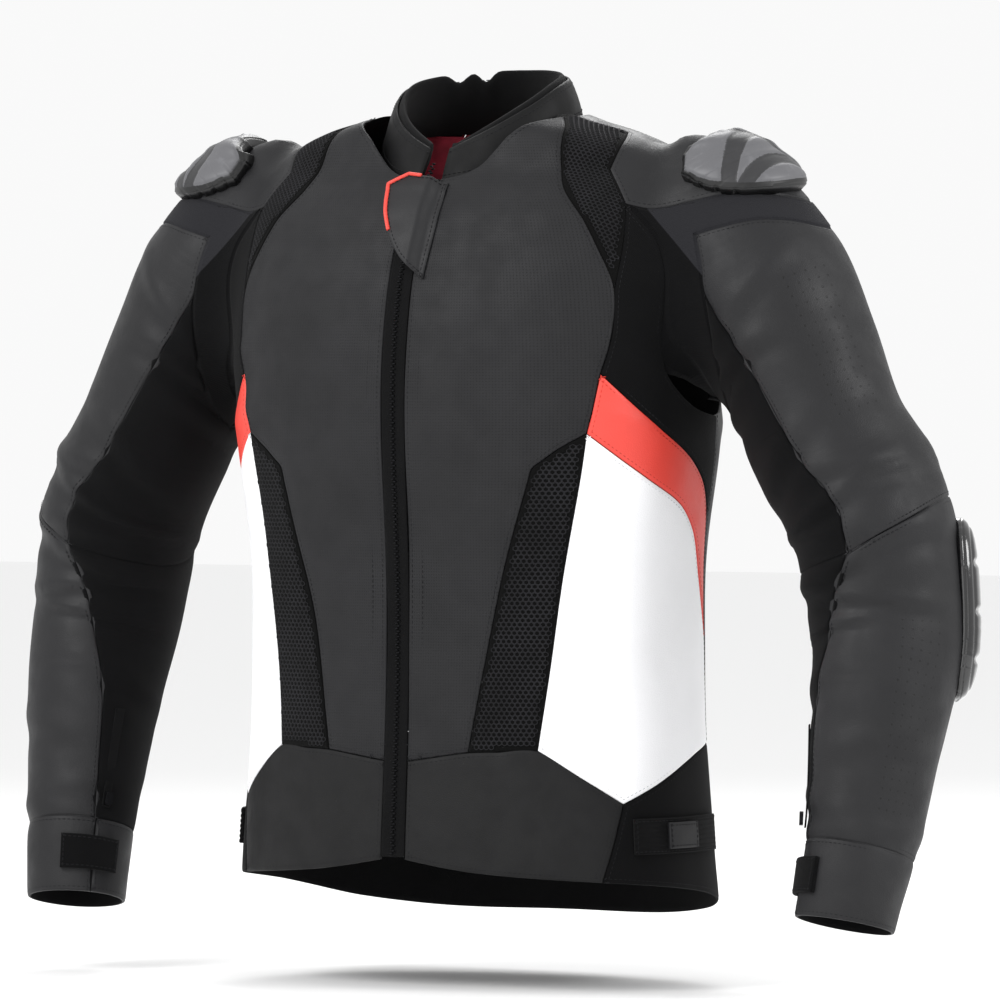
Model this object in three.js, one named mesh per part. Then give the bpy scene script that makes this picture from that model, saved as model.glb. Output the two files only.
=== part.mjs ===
// Leather riding jacket: shell panels, closures and armour over one smooth garment surface.
// Millimetres, +Z up, front towards -Y, the wearer's left towards +X.
import * as THREE from 'three';
import { mergeVertices } from 'three/addons/utils/BufferGeometryUtils.js';

// ---------------------------------------------------------------- driving dimensions
const SHELL = 2.4;             // thickness of the outer panels
const SEAM = 0.25;             // each panel stops this short of its seam line
const TORSO_EDGE = 56;         // longest triangle edge on the torso
const SLEEVE_EDGE = 38;        // longest triangle edge on the sleeves
const SEAM_STEP = 30;          // distance between points along a seam
const FILLET = 46;             // how softly the sleeves grow out of the torso
const SQUARENESS = 2.35;       // 2 is an ellipse, more is boxier
const POLE = 450;              // below this height rays leave the axis level, above it they fan out
const FAN = 200;               // millimetres of surface height per radian of the fan
const TORSO_RADIUS = 150;      // turns degrees round the body into millimetres
const SLEEVE_RADIUS = 62;      // turns degrees round the arm into millimetres
const HANG_POINT = [0, 76, 662]; // where the hang loop rests on its hook

// height, half width, half depth, centre y
const TORSO = [
  [-20, 212, 146, 2], [60, 204, 140, 0], [250, 196, 131, 0], [430, 212, 140, 0], [520, 214, 132, 2],
  [580, 208, 113, 6], [605, 200, 98, 8], [622, 190, 85, 9], [640, 172, 82, 10], [654, 137, 82, 10],
  [664, 101, 82, 10], [674, 80, 82, 9], [720, 76, 80, 9],
];
// points down the middle of the sleeve: x, y, z, radius
const SLEEVE = [
  [188, 14, 662, -16], [216, 15, 610, 44], [253, 19, 540, 71], [291, 17, 470, 68], [322, 14, 405, 66], [358, 18, 340, 67],
  [376, 18, 246, 62], [378, 3, 190, 57], [376, -20, 95, 47], [371, -38, 30, 42], [369, -44, 4, 41],
];
// collar, by degrees round the neck: angle, height of the seam, height of the top edge
const COLLAR = [
  [0, 612, 636], [30, 618, 654], [60, 637, 674], [90, 660, 692], [120, 668, 700], [150, 671, 704], [180, 673, 705],
];
const COLLAR_BASE = [83, 86];  // half width and half depth at the seam
const COLLAR_TOP = [73, 70];   // and at the top edge
const COLLAR_Y = 8;

// armhole seam, once round in the torso map: degrees round the body, surface height
const ARMHOLE = [
  [71.5, 583], [75, 547], [75, 502], [75.5, 472], [78, 450], [86, 427], [97, 419], [107, 428],
  [111, 456], [112, 500], [114, 540], [115.5, 572], [111, 560], [104, 547], [95, 541], [87, 549], [80, 562], [71.5, 583],
];
const FRONT_FORK = 0;          // rows of that table where other seams meet it
const UNDERARM = 6;
const BACK_FORK = 11;
const ARMHOLE_END = 17;
// sleeve seams in the sleeve map: distance along the sleeve, degrees round it (0 outside, 90 front)
const ELBOW = [[396, 84], [390, 69], [380, 34], [372, -8], [370, -60], [384, -124]];
const ELBOW_INNER = [[396, 84], [402, 130], [403, 180], [384, 236]];
const ARM_FRONT_SEAM = [[152, 103], [179, 102], [247, 96], [278, 92], [315, 90], [346, 84], [368, 82], [396, 84]];
const ARM_BACK_SEAM = [[160, 241], [200, 240], [300, 237], [384, 236]];
// lower edge of the stretch band round the armhole, once round from its front corner
const BAND_CORNER = [100, 94];
const BAND_FRONT = [[128, 98], [152, 103]];
const BAND_LOWEST = [258, 175];
const BAND_UNDERARM_FRONT = [[152, 103], [175, 110], [200, 121], [226, 136], [248, 155], BAND_LOWEST];
const BAND_UNDERARM_BACK = [BAND_LOWEST, [250, 195], [228, 213], [200, 227], [178, 236], [160, 241]];
const BAND_BACK = [[160, 241], [128, 246], [103, 254]];
const BAND_TOP = [[103, 254], [113, 269], [126, 309], [134, 333], [138, 355], [131, 375], [122, 392], [112, 412], [100, 454]];
const FOREARM_FRONT_SEAM = [[396, 84], [415, 94], [441, 104], [474, 111], [500, 118], [528, 128], [646, 138]];
const FOREARM_BACK_SEAM = [[384, 236], [470, 232], [550, 227], [646, 222]];
const CUFF_START = 646;
const CUFF_END = 708;
const CUFF_SLIT = 140;         // degrees round the sleeve where the cuff opens

const rad = THREE.MathUtils.degToRad;
const deg = THREE.MathUtils.radToDeg;
const vec = (x, y, z) => new THREE.Vector3(x, y, z);

// ---------------------------------------------------------------- the garment surface
// Smooth interpolation down one column of a table whose first column rises.
function lookUp(table, at, column) {
  let i = 0;
  while (i < table.length - 2 && table[i + 1][0] < at) i++;
  const before = table[Math.max(i - 1, 0)];
  const low = table[i];
  const high = table[i + 1];
  const after = table[Math.min(i + 2, table.length - 1)];
  const span = high[0] - low[0];
  const t = THREE.MathUtils.clamp((at - low[0]) / span, 0, 1);
  const slopeIn = span * (high[column] - before[column]) / (high[0] - before[0]);
  const slopeOut = span * (after[column] - low[column]) / (after[0] - low[0]);
  const t2 = t * t;
  const t3 = t2 * t;
  return (2 * t3 - 3 * t2 + 1) * low[column] + (t3 - 2 * t2 + t) * slopeIn
    + (3 * t2 - 2 * t3) * high[column] + (t3 - t2) * slopeOut;
}

const armLine = new THREE.CatmullRomCurve3(SLEEVE.map((p) => vec(p[0], p[1], p[2])), false, 'centripetal');
armLine.arcLengthDivisions = 600;
const ARM_STEPS = 80;
const ARM_LENGTH = armLine.getLength();
const armPoints = armLine.getSpacedPoints(ARM_STEPS);
const rowLengths = armLine.getLengths((SLEEVE.length - 1) * 60);
const armRadius = SLEEVE.map((row, i) => [rowLengths[i * 60], row[3]]);

// Where the arm's middle is at a distance along it, with its outward and forward directions.
function armFrame(along) {
  const share = THREE.MathUtils.clamp(along / ARM_LENGTH, 0, 1);
  const middle = armLine.getPointAt(share);
  const down = armLine.getTangentAt(share);
  const outward = vec(-down.z, 0, down.x).normalize();
  const forward = vec().crossVectors(down, outward).normalize();
  return { middle, down, outward, forward };
}

// The sleeve map of any point: distance along the arm, and degrees round it.
function sleevePlace(p) {
  const along = alongArm(p);
  const frame = armFrame(along);
  const from = vec().subVectors(p, frame.middle);
  return [along, (deg(Math.atan2(from.dot(frame.forward), from.dot(frame.outward))) + 360) % 360];
}

function alongArm(p) {
  let nearest = Infinity;
  let along = 0;
  const leg = vec();
  const from = vec();
  for (let i = 0; i < ARM_STEPS; i++) {
    leg.subVectors(armPoints[i + 1], armPoints[i]);
    from.subVectors(p, armPoints[i]);
    const t = THREE.MathUtils.clamp(from.dot(leg) / leg.lengthSq(), 0, 1);
    const away = from.addScaledVector(leg, -t).length();
    if (away < nearest) {
      nearest = away;
      along = (i + t) / ARM_STEPS * ARM_LENGTH;
    }
  }
  return along;
}

function armDistance(p) {
  const along = alongArm(p);
  const frame = armFrame(along);
  const from = vec().subVectors(p, frame.middle);
  return Math.hypot(from.dot(frame.outward), from.dot(frame.forward) / 1.05) - lookUp(armRadius, along, 1);
}

function torsoDistance(p) {
  const halfWidth = lookUp(TORSO, p.z, 1);
  const halfDepth = lookUp(TORSO, p.z, 2);
  const x = Math.abs(p.x);
  const y = Math.abs(p.y - lookUp(TORSO, p.z, 3));
  const size = Math.max((x / halfWidth) ** SQUARENESS + (y / halfDepth) ** SQUARENESS, 1e-9) ** (1 / SQUARENESS);
  const out = Math.hypot(x, y);
  const widening = (lookUp(TORSO, p.z + 2, 1) - lookUp(TORSO, p.z - 2, 1)) / 4;
  const deepening = (lookUp(TORSO, p.z + 2, 2) - lookUp(TORSO, p.z - 2, 2)) / 4;
  const sideways = x * x / Math.max(out * out, 1e-9);
  const slope = widening * sideways + deepening * (1 - sideways);
  return out * (1 - 1 / size) / Math.sqrt(1 + slope * slope);
}

// Signed distance to the outside of the garment, about right near the surface.
function garmentDistance(p) {
  const q = vec(Math.abs(p.x), p.y, p.z);
  const torso = torsoDistance(q);
  const arm = armDistance(q);
  const near = Math.max(FILLET - Math.abs(torso - arm), 0) / FILLET;
  return Math.min(torso, arm) - near * near * FILLET / 4;
}

function garmentNormal(p) {
  const step = 1.5;
  const slope = (dx, dy, dz) => garmentDistance(vec(p.x + dx, p.y + dy, p.z + dz))
    - garmentDistance(vec(p.x - dx, p.y - dy, p.z - dz));
  return vec(slope(step, 0, 0), slope(0, step, 0), slope(0, 0, step)).normalize();
}

// The point where a ray leaves the garment.
function leave(start, direction, first, last) {
  const at = (t) => start.clone().addScaledVector(direction, t);
  let inside = first;
  let outside = last;
  for (let t = first; t <= last; t += 9) {
    if (garmentDistance(at(t)) > 0) {
      outside = t;
      break;
    }
    inside = t;
  }
  for (let i = 0; i < 18; i++) {
    const middle = (inside + outside) / 2;
    if (garmentDistance(at(middle)) > 0) outside = middle;
    else inside = middle;
  }
  return at(inside);
}

// Torso map: degrees round the body from the front, and surface height.
function torsoPoint(angle, height) {
  const a = rad(angle);
  const lift = Math.max(height - POLE, 0) / FAN;
  const direction = vec(Math.sin(a) * Math.cos(lift), -Math.cos(a) * Math.cos(lift), Math.sin(lift));
  return leave(vec(0, 0, Math.min(height, POLE)), direction, 20, 420);
}

function torsoPlace(p) {
  const angle = (deg(Math.atan2(p.x, -p.y)) + 360) % 360;
  const height = p.z <= POLE ? p.z : POLE + FAN * Math.atan2(p.z - POLE, Math.hypot(p.x, p.y));
  return [angle, height];
}

// Sleeve map: distance along the arm, and degrees round it.
function sleevePoint(along, angle) {
  const frame = armFrame(along);
  const a = rad(angle);
  const direction = frame.outward.clone().multiplyScalar(Math.cos(a)).addScaledVector(frame.forward, Math.sin(a));
  return leave(frame.middle, direction, 4, 130);
}

const onTorso = {
  point: ([x, y]) => torsoPoint(deg(x / TORSO_RADIUS), y),
  normal: garmentNormal,
  edge: TORSO_EDGE,
};
const onSleeve = {
  point: ([x, y]) => sleevePoint(-y, deg(x / SLEEVE_RADIUS)),
  normal: garmentNormal,
  edge: SLEEVE_EDGE,
};
const torsoFlat = ([angle, height]) => [rad(angle) * TORSO_RADIUS, height];
const sleeveFlat = ([along, angle]) => [rad(angle) * SLEEVE_RADIUS, -along];

// Collar map: degrees round the neck, and 0 at the seam to 1 at the top edge.
function collarPoint(angle, rise) {
  const a = rad(angle);
  const fold = Math.abs(((angle + 180) % 360 + 360) % 360 - 180);
  const width = THREE.MathUtils.lerp(COLLAR_BASE[0], COLLAR_TOP[0], rise);
  const depth = THREE.MathUtils.lerp(COLLAR_BASE[1], COLLAR_TOP[1], rise);
  const height = THREE.MathUtils.lerp(lookUp(COLLAR, fold, 1), lookUp(COLLAR, fold, 2), rise);
  return vec(width * Math.sin(a), COLLAR_Y - depth * Math.cos(a), height);
}
const COLLAR_RADIUS = 80;
const COLLAR_RISE = 34;
const onCollar = {
  point: ([x, y]) => collarPoint(deg(x / COLLAR_RADIUS), y / COLLAR_RISE),
  normal: (p) => vec(p.x / COLLAR_BASE[0], (p.y - COLLAR_Y) / COLLAR_BASE[1], 0.25).normalize(),
  edge: 26,
};
const collarFlat = ([angle, rise]) => [rad(angle) * COLLAR_RADIUS, rise * COLLAR_RISE];

// ---------------------------------------------------------------- panels
// A smooth line through a few points, with a point about every step millimetres.
function smooth(points, step = SEAM_STEP) {
  if (points.length === 2) {
    const [a, b] = points;
    const count = Math.max(1, Math.round(Math.hypot(a[0] - b[0], a[1] - b[1]) / step));
    return Array.from({ length: count + 1 }, (_, i) => [
      a[0] + (b[0] - a[0]) * i / count, a[1] + (b[1] - a[1]) * i / count]);
  }
  const line = new THREE.CatmullRomCurve3(points.map(([x, y]) => vec(x, y, 0)), false, 'centripetal');
  const count = Math.max(2, Math.round(line.getLength() / step));
  return line.getSpacedPoints(count).map((p) => [p.x, p.y]);
}

// Joins lines end to end into one closed outline, without the repeated corners.
function outline(...lines) {
  const points = [];
  for (const line of lines) {
    for (const p of line) {
      const last = points[points.length - 1];
      if (!last || Math.hypot(p[0] - last[0], p[1] - last[1]) > 1.5) points.push(p);
    }
  }
  const [first, last] = [points[0], points[points.length - 1]];
  if (Math.hypot(first[0] - last[0], first[1] - last[1]) <= 1.5) points.pop();
  return points;
}

// Moves an outline inwards by a seam's half gap.
function inset(points, gap) {
  const turned = THREE.ShapeUtils.isClockWise(points.map(([x, y]) => new THREE.Vector2(x, y)));
  const ring = turned ? points.slice().reverse() : points;
  return ring.map((p, i) => {
    const a = ring[(i + ring.length - 1) % ring.length];
    const b = ring[(i + 1) % ring.length];
    const before = new THREE.Vector2(p[0] - a[0], p[1] - a[1]).normalize();
    const after = new THREE.Vector2(b[0] - p[0], b[1] - p[1]).normalize();
    const inwards = new THREE.Vector2(-before.y - after.y, before.x + after.x).normalize();
    const sharpness = Math.max(inwards.dot(new THREE.Vector2(-before.y, before.x)), 0.3);
    return [p[0] + inwards.x * gap / sharpness, p[1] + inwards.y * gap / sharpness];
  });
}

const cross = (o, a, b) => (a[0] - o[0]) * (b[1] - o[1]) - (a[1] - o[1]) * (b[0] - o[0]);

// True if d lies inside the circle through a, b and c, which turn anticlockwise.
function inCircle(a, b, c, d) {
  const rows = [a, b, c].map(([x, y]) => [x - d[0], y - d[1], (x - d[0]) ** 2 + (y - d[1]) ** 2]);
  const [p, q, r] = rows;
  return p[0] * (q[1] * r[2] - r[1] * q[2]) - q[0] * (p[1] * r[2] - r[1] * p[2])
    + r[0] * (p[1] * q[2] - q[1] * p[2]) > 1e-6;
}

// Swaps the shared edge of neighbouring triangles wherever that makes them less thin.
function evenOut(flat, triangles) {
  for (let pass = 0; pass < 40; pass++) {
    const owners = new Map();
    triangles.forEach(([a, b, c], i) => {
      for (const [p, q, r] of [[a, b, c], [b, c, a], [c, a, b]]) owners.set(`${p} ${q}`, [i, r]);
    });
    const changed = new Set();
    for (const [edge, [i, c]] of owners) {
      const [a, b] = edge.split(' ').map(Number);
      const other = owners.get(`${b} ${a}`);
      if (!other || changed.has(i) || changed.has(other[0])) continue;
      const [j, d] = other;
      if (!inCircle(flat[a], flat[b], flat[c], flat[d])) continue;
      if (cross(flat[d], flat[b], flat[c]) < 1e-3 || cross(flat[a], flat[d], flat[c]) < 1e-3) continue;
      triangles[i] = [d, b, c];
      triangles[j] = [a, d, c];
      changed.add(i).add(j);
    }
    if (!changed.size) return;
  }
}

// Splits every edge that is too long once it lies on the surface, keeping the mesh closed up.
function refine(flat, triangles, map) {
  const solid = flat.map(map.point);
  const span = (a, b) => solid[a].distanceTo(solid[b]);
  for (let pass = 0; pass < 14; pass++) {
    evenOut(flat, triangles);
    const middles = new Map();
    for (const [a, b, c] of triangles) {
      const [p, q] = [[a, b], [b, c], [c, a]].sort((e, f) => span(...f) - span(...e))[0];
      const key = p < q ? `${p} ${q}` : `${q} ${p}`;
      if (span(p, q) <= map.edge || middles.has(key)) continue;
      flat.push([(flat[p][0] + flat[q][0]) / 2, (flat[p][1] + flat[q][1]) / 2]);
      solid.push(map.point(flat[flat.length - 1]));
      middles.set(key, flat.length - 1);
    }
    if (!middles.size) return solid;
    const middle = (a, b) => middles.get(a < b ? `${a} ${b}` : `${b} ${a}`) ?? -1;
    const next = [];
    for (const corners of triangles) {
      const [a, b, c] = corners;
      const cuts = [middle(a, b), middle(b, c), middle(c, a)];
      const count = cuts.filter((m) => m >= 0).length;
      if (count === 0) {
        next.push(corners);
        continue;
      }
      if (count === 3) {
        next.push([a, cuts[0], cuts[2]], [cuts[0], b, cuts[1]], [cuts[2], cuts[1], c], cuts);
        continue;
      }
      const from = count === 1 ? cuts.findIndex((m) => m >= 0) : (cuts.findIndex((m) => m < 0) + 1) % 3;
      const [p, q, r] = [corners[from], corners[(from + 1) % 3], corners[(from + 2) % 3]];
      const first = cuts[from];
      if (count === 1) {
        next.push([p, first, r], [first, q, r]);
        continue;
      }
      const second = cuts[(from + 1) % 3];
      next.push([first, q, second], [p, first, second], [p, second, r]);
    }
    triangles.splice(0, triangles.length, ...next);
  }
  return solid;
}

// A shell of even thickness over an outline on a map. lift is the outer face's height over the surface.
function panel(map, points, { lift = 0, thickness = SHELL, gap = SEAM } = {}) {
  const flat = inset(points, gap);
  const triangles = THREE.ShapeUtils.triangulateShape(flat.map(([x, y]) => new THREE.Vector2(x, y)), []);
  const solid = refine(flat, triangles, map);
  const count = solid.length;
  const edges = new Set(triangles.flatMap(([a, b, c]) => [`${a} ${b}`, `${b} ${c}`, `${c} ${a}`]));
  const outer = [];
  const inner = [];
  for (const p of solid) {
    const n = map.normal(p);
    outer.push(p.clone().addScaledVector(n, lift));
    inner.push(p.clone().addScaledVector(n, lift - thickness));
  }
  const faces = [];
  for (const [a, b, c] of triangles) {
    faces.push(a, b, c, a + count, c + count, b + count);
  }
  for (const edge of edges) {
    const [a, b] = edge.split(' ').map(Number);
    if (!edges.has(`${b} ${a}`)) faces.push(a, a + count, b, b, a + count, b + count);
  }
  const geometry = new THREE.BufferGeometry();
  geometry.setAttribute('position', new THREE.Float32BufferAttribute([...outer, ...inner].flatMap((p) => p.toArray()), 3));
  geometry.setIndex(faces);
  if (volumeOf(geometry) < 0) {
    for (let i = 0; i < faces.length; i += 3) [faces[i], faces[i + 1]] = [faces[i + 1], faces[i]];
    geometry.setIndex(faces);
  }
  return geometry;
}

function volumeOf(geometry) {
  const p = geometry.attributes.position;
  const index = geometry.index.array;
  const [a, b, c] = [vec(), vec(), vec()];
  let total = 0;
  for (let i = 0; i < index.length; i += 3) {
    a.fromBufferAttribute(p, index[i]);
    b.fromBufferAttribute(p, index[i + 1]);
    c.fromBufferAttribute(p, index[i + 2]);
    total += a.dot(b.cross(c)) / 6;
  }
  return total;
}

// The same shape on the wearer's right.
function mirrored(geometry) {
  const copy = geometry.clone().scale(-1, 1, 1);
  const index = copy.index.array.slice();
  for (let i = 0; i < index.length; i += 3) [index[i], index[i + 1]] = [index[i + 1], index[i]];
  copy.setIndex(Array.from(index));
  return copy;
}

// ---------------------------------------------------------------- materials
const finish = (color, roughness, metalness = 0) => ({ color, roughness, metalness });
const LEATHER = finish(0x3a3a3c, 0.55);
const STRETCH = finish(0x121214, 0.9);
const NET = finish(0x1c1c1e, 0.85);
const WHITE = finish(0xf0f0f2, 0.45);
const RED = finish(0xe55348, 0.5);
const LINING = finish(0x8c2a3a, 0.8);
const SOFT = finish(0x161618, 0.95);
const PLATE = finish(0x8c8c8e, 0.35);
const GLOSS = finish(0x0c0c0e, 0.18);
const ARMOUR = finish(0x2c2c30, 0.8);
const METAL = finish(0x303034, 0.35, 0.9);
const TAPE = finish(0x0e0e10, 0.8);

const jacket = new THREE.Group();
jacket.position.set(-HANG_POINT[0], -HANG_POINT[1], -HANG_POINT[2]);

function add(name, geometry, material) {
  const mesh = new THREE.Mesh(geometry, new THREE.MeshStandardMaterial(material));
  mesh.name = name;
  jacket.add(mesh);
}
function addPair(name, geometry, material) {
  add(`${name}_left`, geometry, material);
  add(`${name}_right`, mirrored(geometry), material);
}

// ---------------------------------------------------------------- torso seams
const line = (...points) => smooth(points.map(torsoFlat));
// A point of the collar seam, in the torso map.
function neck(angle) {
  const place = torsoPlace(collarPoint(angle, 0));
  return [place[0], place[1] - 3];
}
function collarSeam(from, to) {
  const count = Math.max(1, Math.round(Math.abs(to - from) / 12));
  return Array.from({ length: count + 1 }, (_, i) => torsoFlat(neck(from + (to - from) * i / count)));
}

// The armhole seam at any place along its table, and part of it between two rows.
const armholeCurve = new THREE.CatmullRomCurve3(ARMHOLE.map(([x, y]) => vec(x, y, 0)), false, 'catmullrom', 0.5);
function armholeRow(at) {
  const p = armholeCurve.getPoint(at / ARMHOLE_END);
  return [p.x, p.y];
}
function armhole(first, last) {
  const count = (last - first) * 2;
  return Array.from({ length: count + 1 }, (_, i) => torsoFlat(armholeRow(first + i / 2)));
}

const ZIP_TOP = 7.5;           // degrees from the middle to the front panel's edge, at the neck
const ZIP_LOW = 4.6;           // and over the chest and belly
const frontEdge = line([ZIP_LOW, 136], [ZIP_LOW, 300], [ZIP_LOW, 470], [5.4, 600], neck(ZIP_TOP));
const meshInner = line(neck(76), [67, 658], [60, 632], [59.5, 609], [62, 567], [65, 522]);
const meshOuter = line([94, 645], [79, 627], [71, 608], [71.5, 583]);
const meshOuterLow = line([71.5, 583], [69, 559], [66.5, 538], [65, 522]);
const frontSide = line([65, 522], [64, 490], [61, 454]);
const redEnd = line([61, 454], [58, 405]);
const sideMeshTop = line([58, 405], [50, 389], [45, 376]);
const sideMeshFront = line([45, 376], [41, 328], [37, 280], [27, 144]);
const sideMeshRear = line([58, 405], [57, 369], [54, 295], [51, 221], [47, 146]);
const hemTop = line([ZIP_LOW, 136], [27, 144]);
const redTop = line([61, 454], [74, 414], [93, 371], [100, 336]);
const redTopRear = line([100, 336], [104, 285], [105, 234]);
const chestRear = line(ARMHOLE[UNDERARM], [100, 385], [100, 336]);
const redLow = line([58, 405], [71, 373], [90, 335], [98, 291], [105, 234]);
const whiteLow = line([47, 146], [68, 102]);
const whiteBack = line([68, 102], [95, 140], [107, 148]);
const whiteRear = line([107, 148], [105, 234]);
const back = (points) => points.slice().reverse();

const frontPanel = outline(
  frontEdge, collarSeam(ZIP_TOP, 76), meshInner, frontSide, redEnd, sideMeshTop, sideMeshFront,
  back(hemTop));
addPair('front_panel', panel(onTorso, frontPanel), LEATHER);

addPair('shoulder_mesh', panel(onTorso, outline(
  back(meshInner), collarSeam(76, 88), meshOuter, meshOuterLow)), NET);

addPair('chest_stretch', panel(onTorso, outline(
  armhole(FRONT_FORK, UNDERARM), chestRear, back(redTop), back(frontSide), back(meshOuterLow))), STRETCH);

addPair('red_panel', panel(onTorso, outline(redTop, redTopRear, back(redLow), back(redEnd))), RED);
addPair('white_panel', panel(onTorso, outline(
  sideMeshRear, whiteLow, whiteBack, whiteRear, back(redLow))), WHITE);
addPair('side_mesh', panel(onTorso, outline(
  sideMeshTop, sideMeshFront, line([27, 144], [47, 146]), back(sideMeshRear))), NET);

const hemEnd = line([68, 102], [67, 89], [63.5, 52], [62, 38]);
const hemLow = line([62, 38], [27, 46], [ZIP_LOW, 55]);
addPair('hem_band', panel(onTorso, outline(
  hemTop, line([27, 144], [47, 146]), whiteLow, hemEnd, hemLow)), LEATHER);

const yokeBack = line(neck(146), [138, 650], [128, 615], ARMHOLE[BACK_FORK]);
addPair('yoke', panel(onTorso, outline(
  collarSeam(88, 146), yokeBack, armhole(BACK_FORK, ARMHOLE_END), back(meshOuter))), LEATHER);

const backSideSeam = line(neck(152), [148, 640], [143, 560], [146, 430], [150, 300], [152, 150]);
addPair('back_side', panel(onTorso, outline(
  back(yokeBack), collarSeam(146, 152), backSideSeam, line([152, 150], [107, 148]), whiteRear,
  back(redTopRear), back(chestRear),
  armhole(UNDERARM, BACK_FORK))), LEATHER);

const acrossBack = (points) => points.map(([x, y]) => [2 * Math.PI * TORSO_RADIUS - x, y]);
add('back_panel', panel(onTorso, outline(
  collarSeam(152, 208), acrossBack(backSideSeam), line([208, 150], [152, 150]),
  back(backSideSeam))), LEATHER);

const backHemTop = [...whiteBack, ...line([107, 148], [180, 150], [253, 148]), ...back(acrossBack(whiteBack))];
const backHemLow = line([62, 38], [80, 33], [100, 24], [118, 10], [140, 1], [180, 0], [220, 1], [242, 10],
  [260, 24], [280, 33], [298, 38]);
add('back_hem', panel(onTorso, outline(
  backHemTop, acrossBack(hemEnd), back(backHemLow), back(hemEnd))), STRETCH);


// ---------------------------------------------------------------- sleeve
const sleeveLine = (rows) => smooth(rows.map(sleeveFlat), 26);

const turn = 2 * Math.PI * SLEEVE_RADIUS;
const turned = (points, by = turn) => points.map(([x, y]) => [x + by, y]);
const turnedBack = (points) => turned(points, -turn);
// The band is cut open under the arm. Angles count on from there, so that the whole ring lies side by side.
const bandInner = [];
for (let i = UNDERARM; i <= UNDERARM + ARMHOLE_END; i += 0.5) {
  const row = i % ARMHOLE_END;
  const [along, angle] = sleevePlace(torsoPoint(...armholeRow(row)));
  const pastOutside = i > ARMHOLE_END || (i > BACK_FORK && angle < 180);
  bandInner.push(sleeveFlat([along, angle + (pastOutside ? 360 : 0)]));
}
const bandFront = sleeveLine([BAND_CORNER, ...BAND_FRONT]);
const bandUnderarmFront = sleeveLine(BAND_UNDERARM_FRONT);
const bandUnderarmBack = sleeveLine(BAND_UNDERARM_BACK);
const bandBack = sleeveLine(BAND_BACK);
const bandTop = sleeveLine(BAND_TOP);
addPair('armhole_gusset', panel(onSleeve, outline(
  bandInner, back(turned(bandUnderarmFront)), back(turned(bandFront)), back(bandTop), back(bandBack),
  back(bandUnderarmBack)), { gap: 1.2 }), STRETCH);

const frontSeam = sleeveLine(ARM_FRONT_SEAM);
const backSeam = sleeveLine(ARM_BACK_SEAM);
addPair('upper_sleeve_leather', panel(onSleeve, outline(
  turnedBack(bandBack), turnedBack(bandTop), bandFront, frontSeam, sleeveLine(ELBOW),
  back(turnedBack(backSeam)))), LEATHER);
addPair('upper_sleeve_stretch', panel(onSleeve, outline(
  bandUnderarmFront, bandUnderarmBack, backSeam, back(sleeveLine(ELBOW_INNER)), back(frontSeam))), STRETCH);

const forearmFront = sleeveLine(FOREARM_FRONT_SEAM);
const forearmBack = sleeveLine(FOREARM_BACK_SEAM);
const cuffLine = (from, to, along = CUFF_START) => sleeveLine([[along, from], [along, to]]);
addPair('forearm_leather', panel(onSleeve, outline(
  back(sleeveLine(ELBOW)), forearmFront, cuffLine(138, 222 - 360), back(turnedBack(forearmBack)))), LEATHER);
addPair('forearm_stretch', panel(onSleeve, outline(
  sleeveLine(ELBOW_INNER), forearmBack, cuffLine(222, 138), back(forearmFront))), STRETCH);
addPair('cuff', panel(onSleeve, outline(
  cuffLine(CUFF_SLIT, CUFF_SLIT + 360), cuffLine(CUFF_SLIT + 360, CUFF_SLIT, CUFF_END))), LEATHER);

// An oval on a map: middle and half sizes in the map's millimetres.
function oval([x, y], halfWidth, halfHeight, count = 16, squareness = 2.6) {
  return Array.from({ length: count }, (_, i) => {
    const a = 2 * Math.PI * i / count;
    const swell = (Math.abs(Math.cos(a)) ** squareness + Math.abs(Math.sin(a)) ** squareness) ** (-1 / squareness);
    return [x + halfWidth * Math.cos(a) * swell, y + halfHeight * Math.sin(a) * swell];
  });
}
const rectangle = (map, [a0, b0], [a1, b1]) => outline(
  smooth([map([a0, b0]), map([a1, b0])]), smooth([map([a1, b0]), map([a1, b1])]),
  smooth([map([a1, b1]), map([a0, b1])]), smooth([map([a0, b1]), map([a0, b0])]));

// ---------------------------------------------------------------- armour
const SLIDER_RISE = 16.4;   // height of the shoulder slider over the leather
addPair('shoulder_slider', panel(onTorso, oval(torsoFlat([92, 570]), 28, 23),
  { lift: SLIDER_RISE, thickness: 12 }), PLATE);
addPair('shoulder_armour', panel(onTorso, oval(torsoFlat([94, 592]), 32, 27), { lift: -8, thickness: 9 }), ARMOUR);
addPair('elbow_slider', panel(onSleeve, oval(sleeveFlat([446, -42]), 34, 62), { lift: 13.6, thickness: 11 }), GLOSS);
addPair('elbow_armour', panel(onSleeve, oval(sleeveFlat([470, -40]), 50, 80), { lift: -5, thickness: 8 }), ARMOUR);
add('back_protector', panel(onTorso, outline(
  line([164, 180], [196, 180]), line([196, 180], [203, 300], [207, 420], [203, 540]), line([203, 540], [157, 540]),
  line([157, 540], [153, 420], [157, 300], [164, 180])), { lift: -5, thickness: 12 }), ARMOUR);
add('neck_lining', panel({ ...onTorso, edge: 30 }, outline(
  line([128, 600], [180, 580], [232, 600]), line([232, 600], [240, 668]), line([240, 668], [180, 672], [120, 668]),
  line([120, 668], [128, 600])), { lift: -7, thickness: 1.5 }), LINING);

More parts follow.
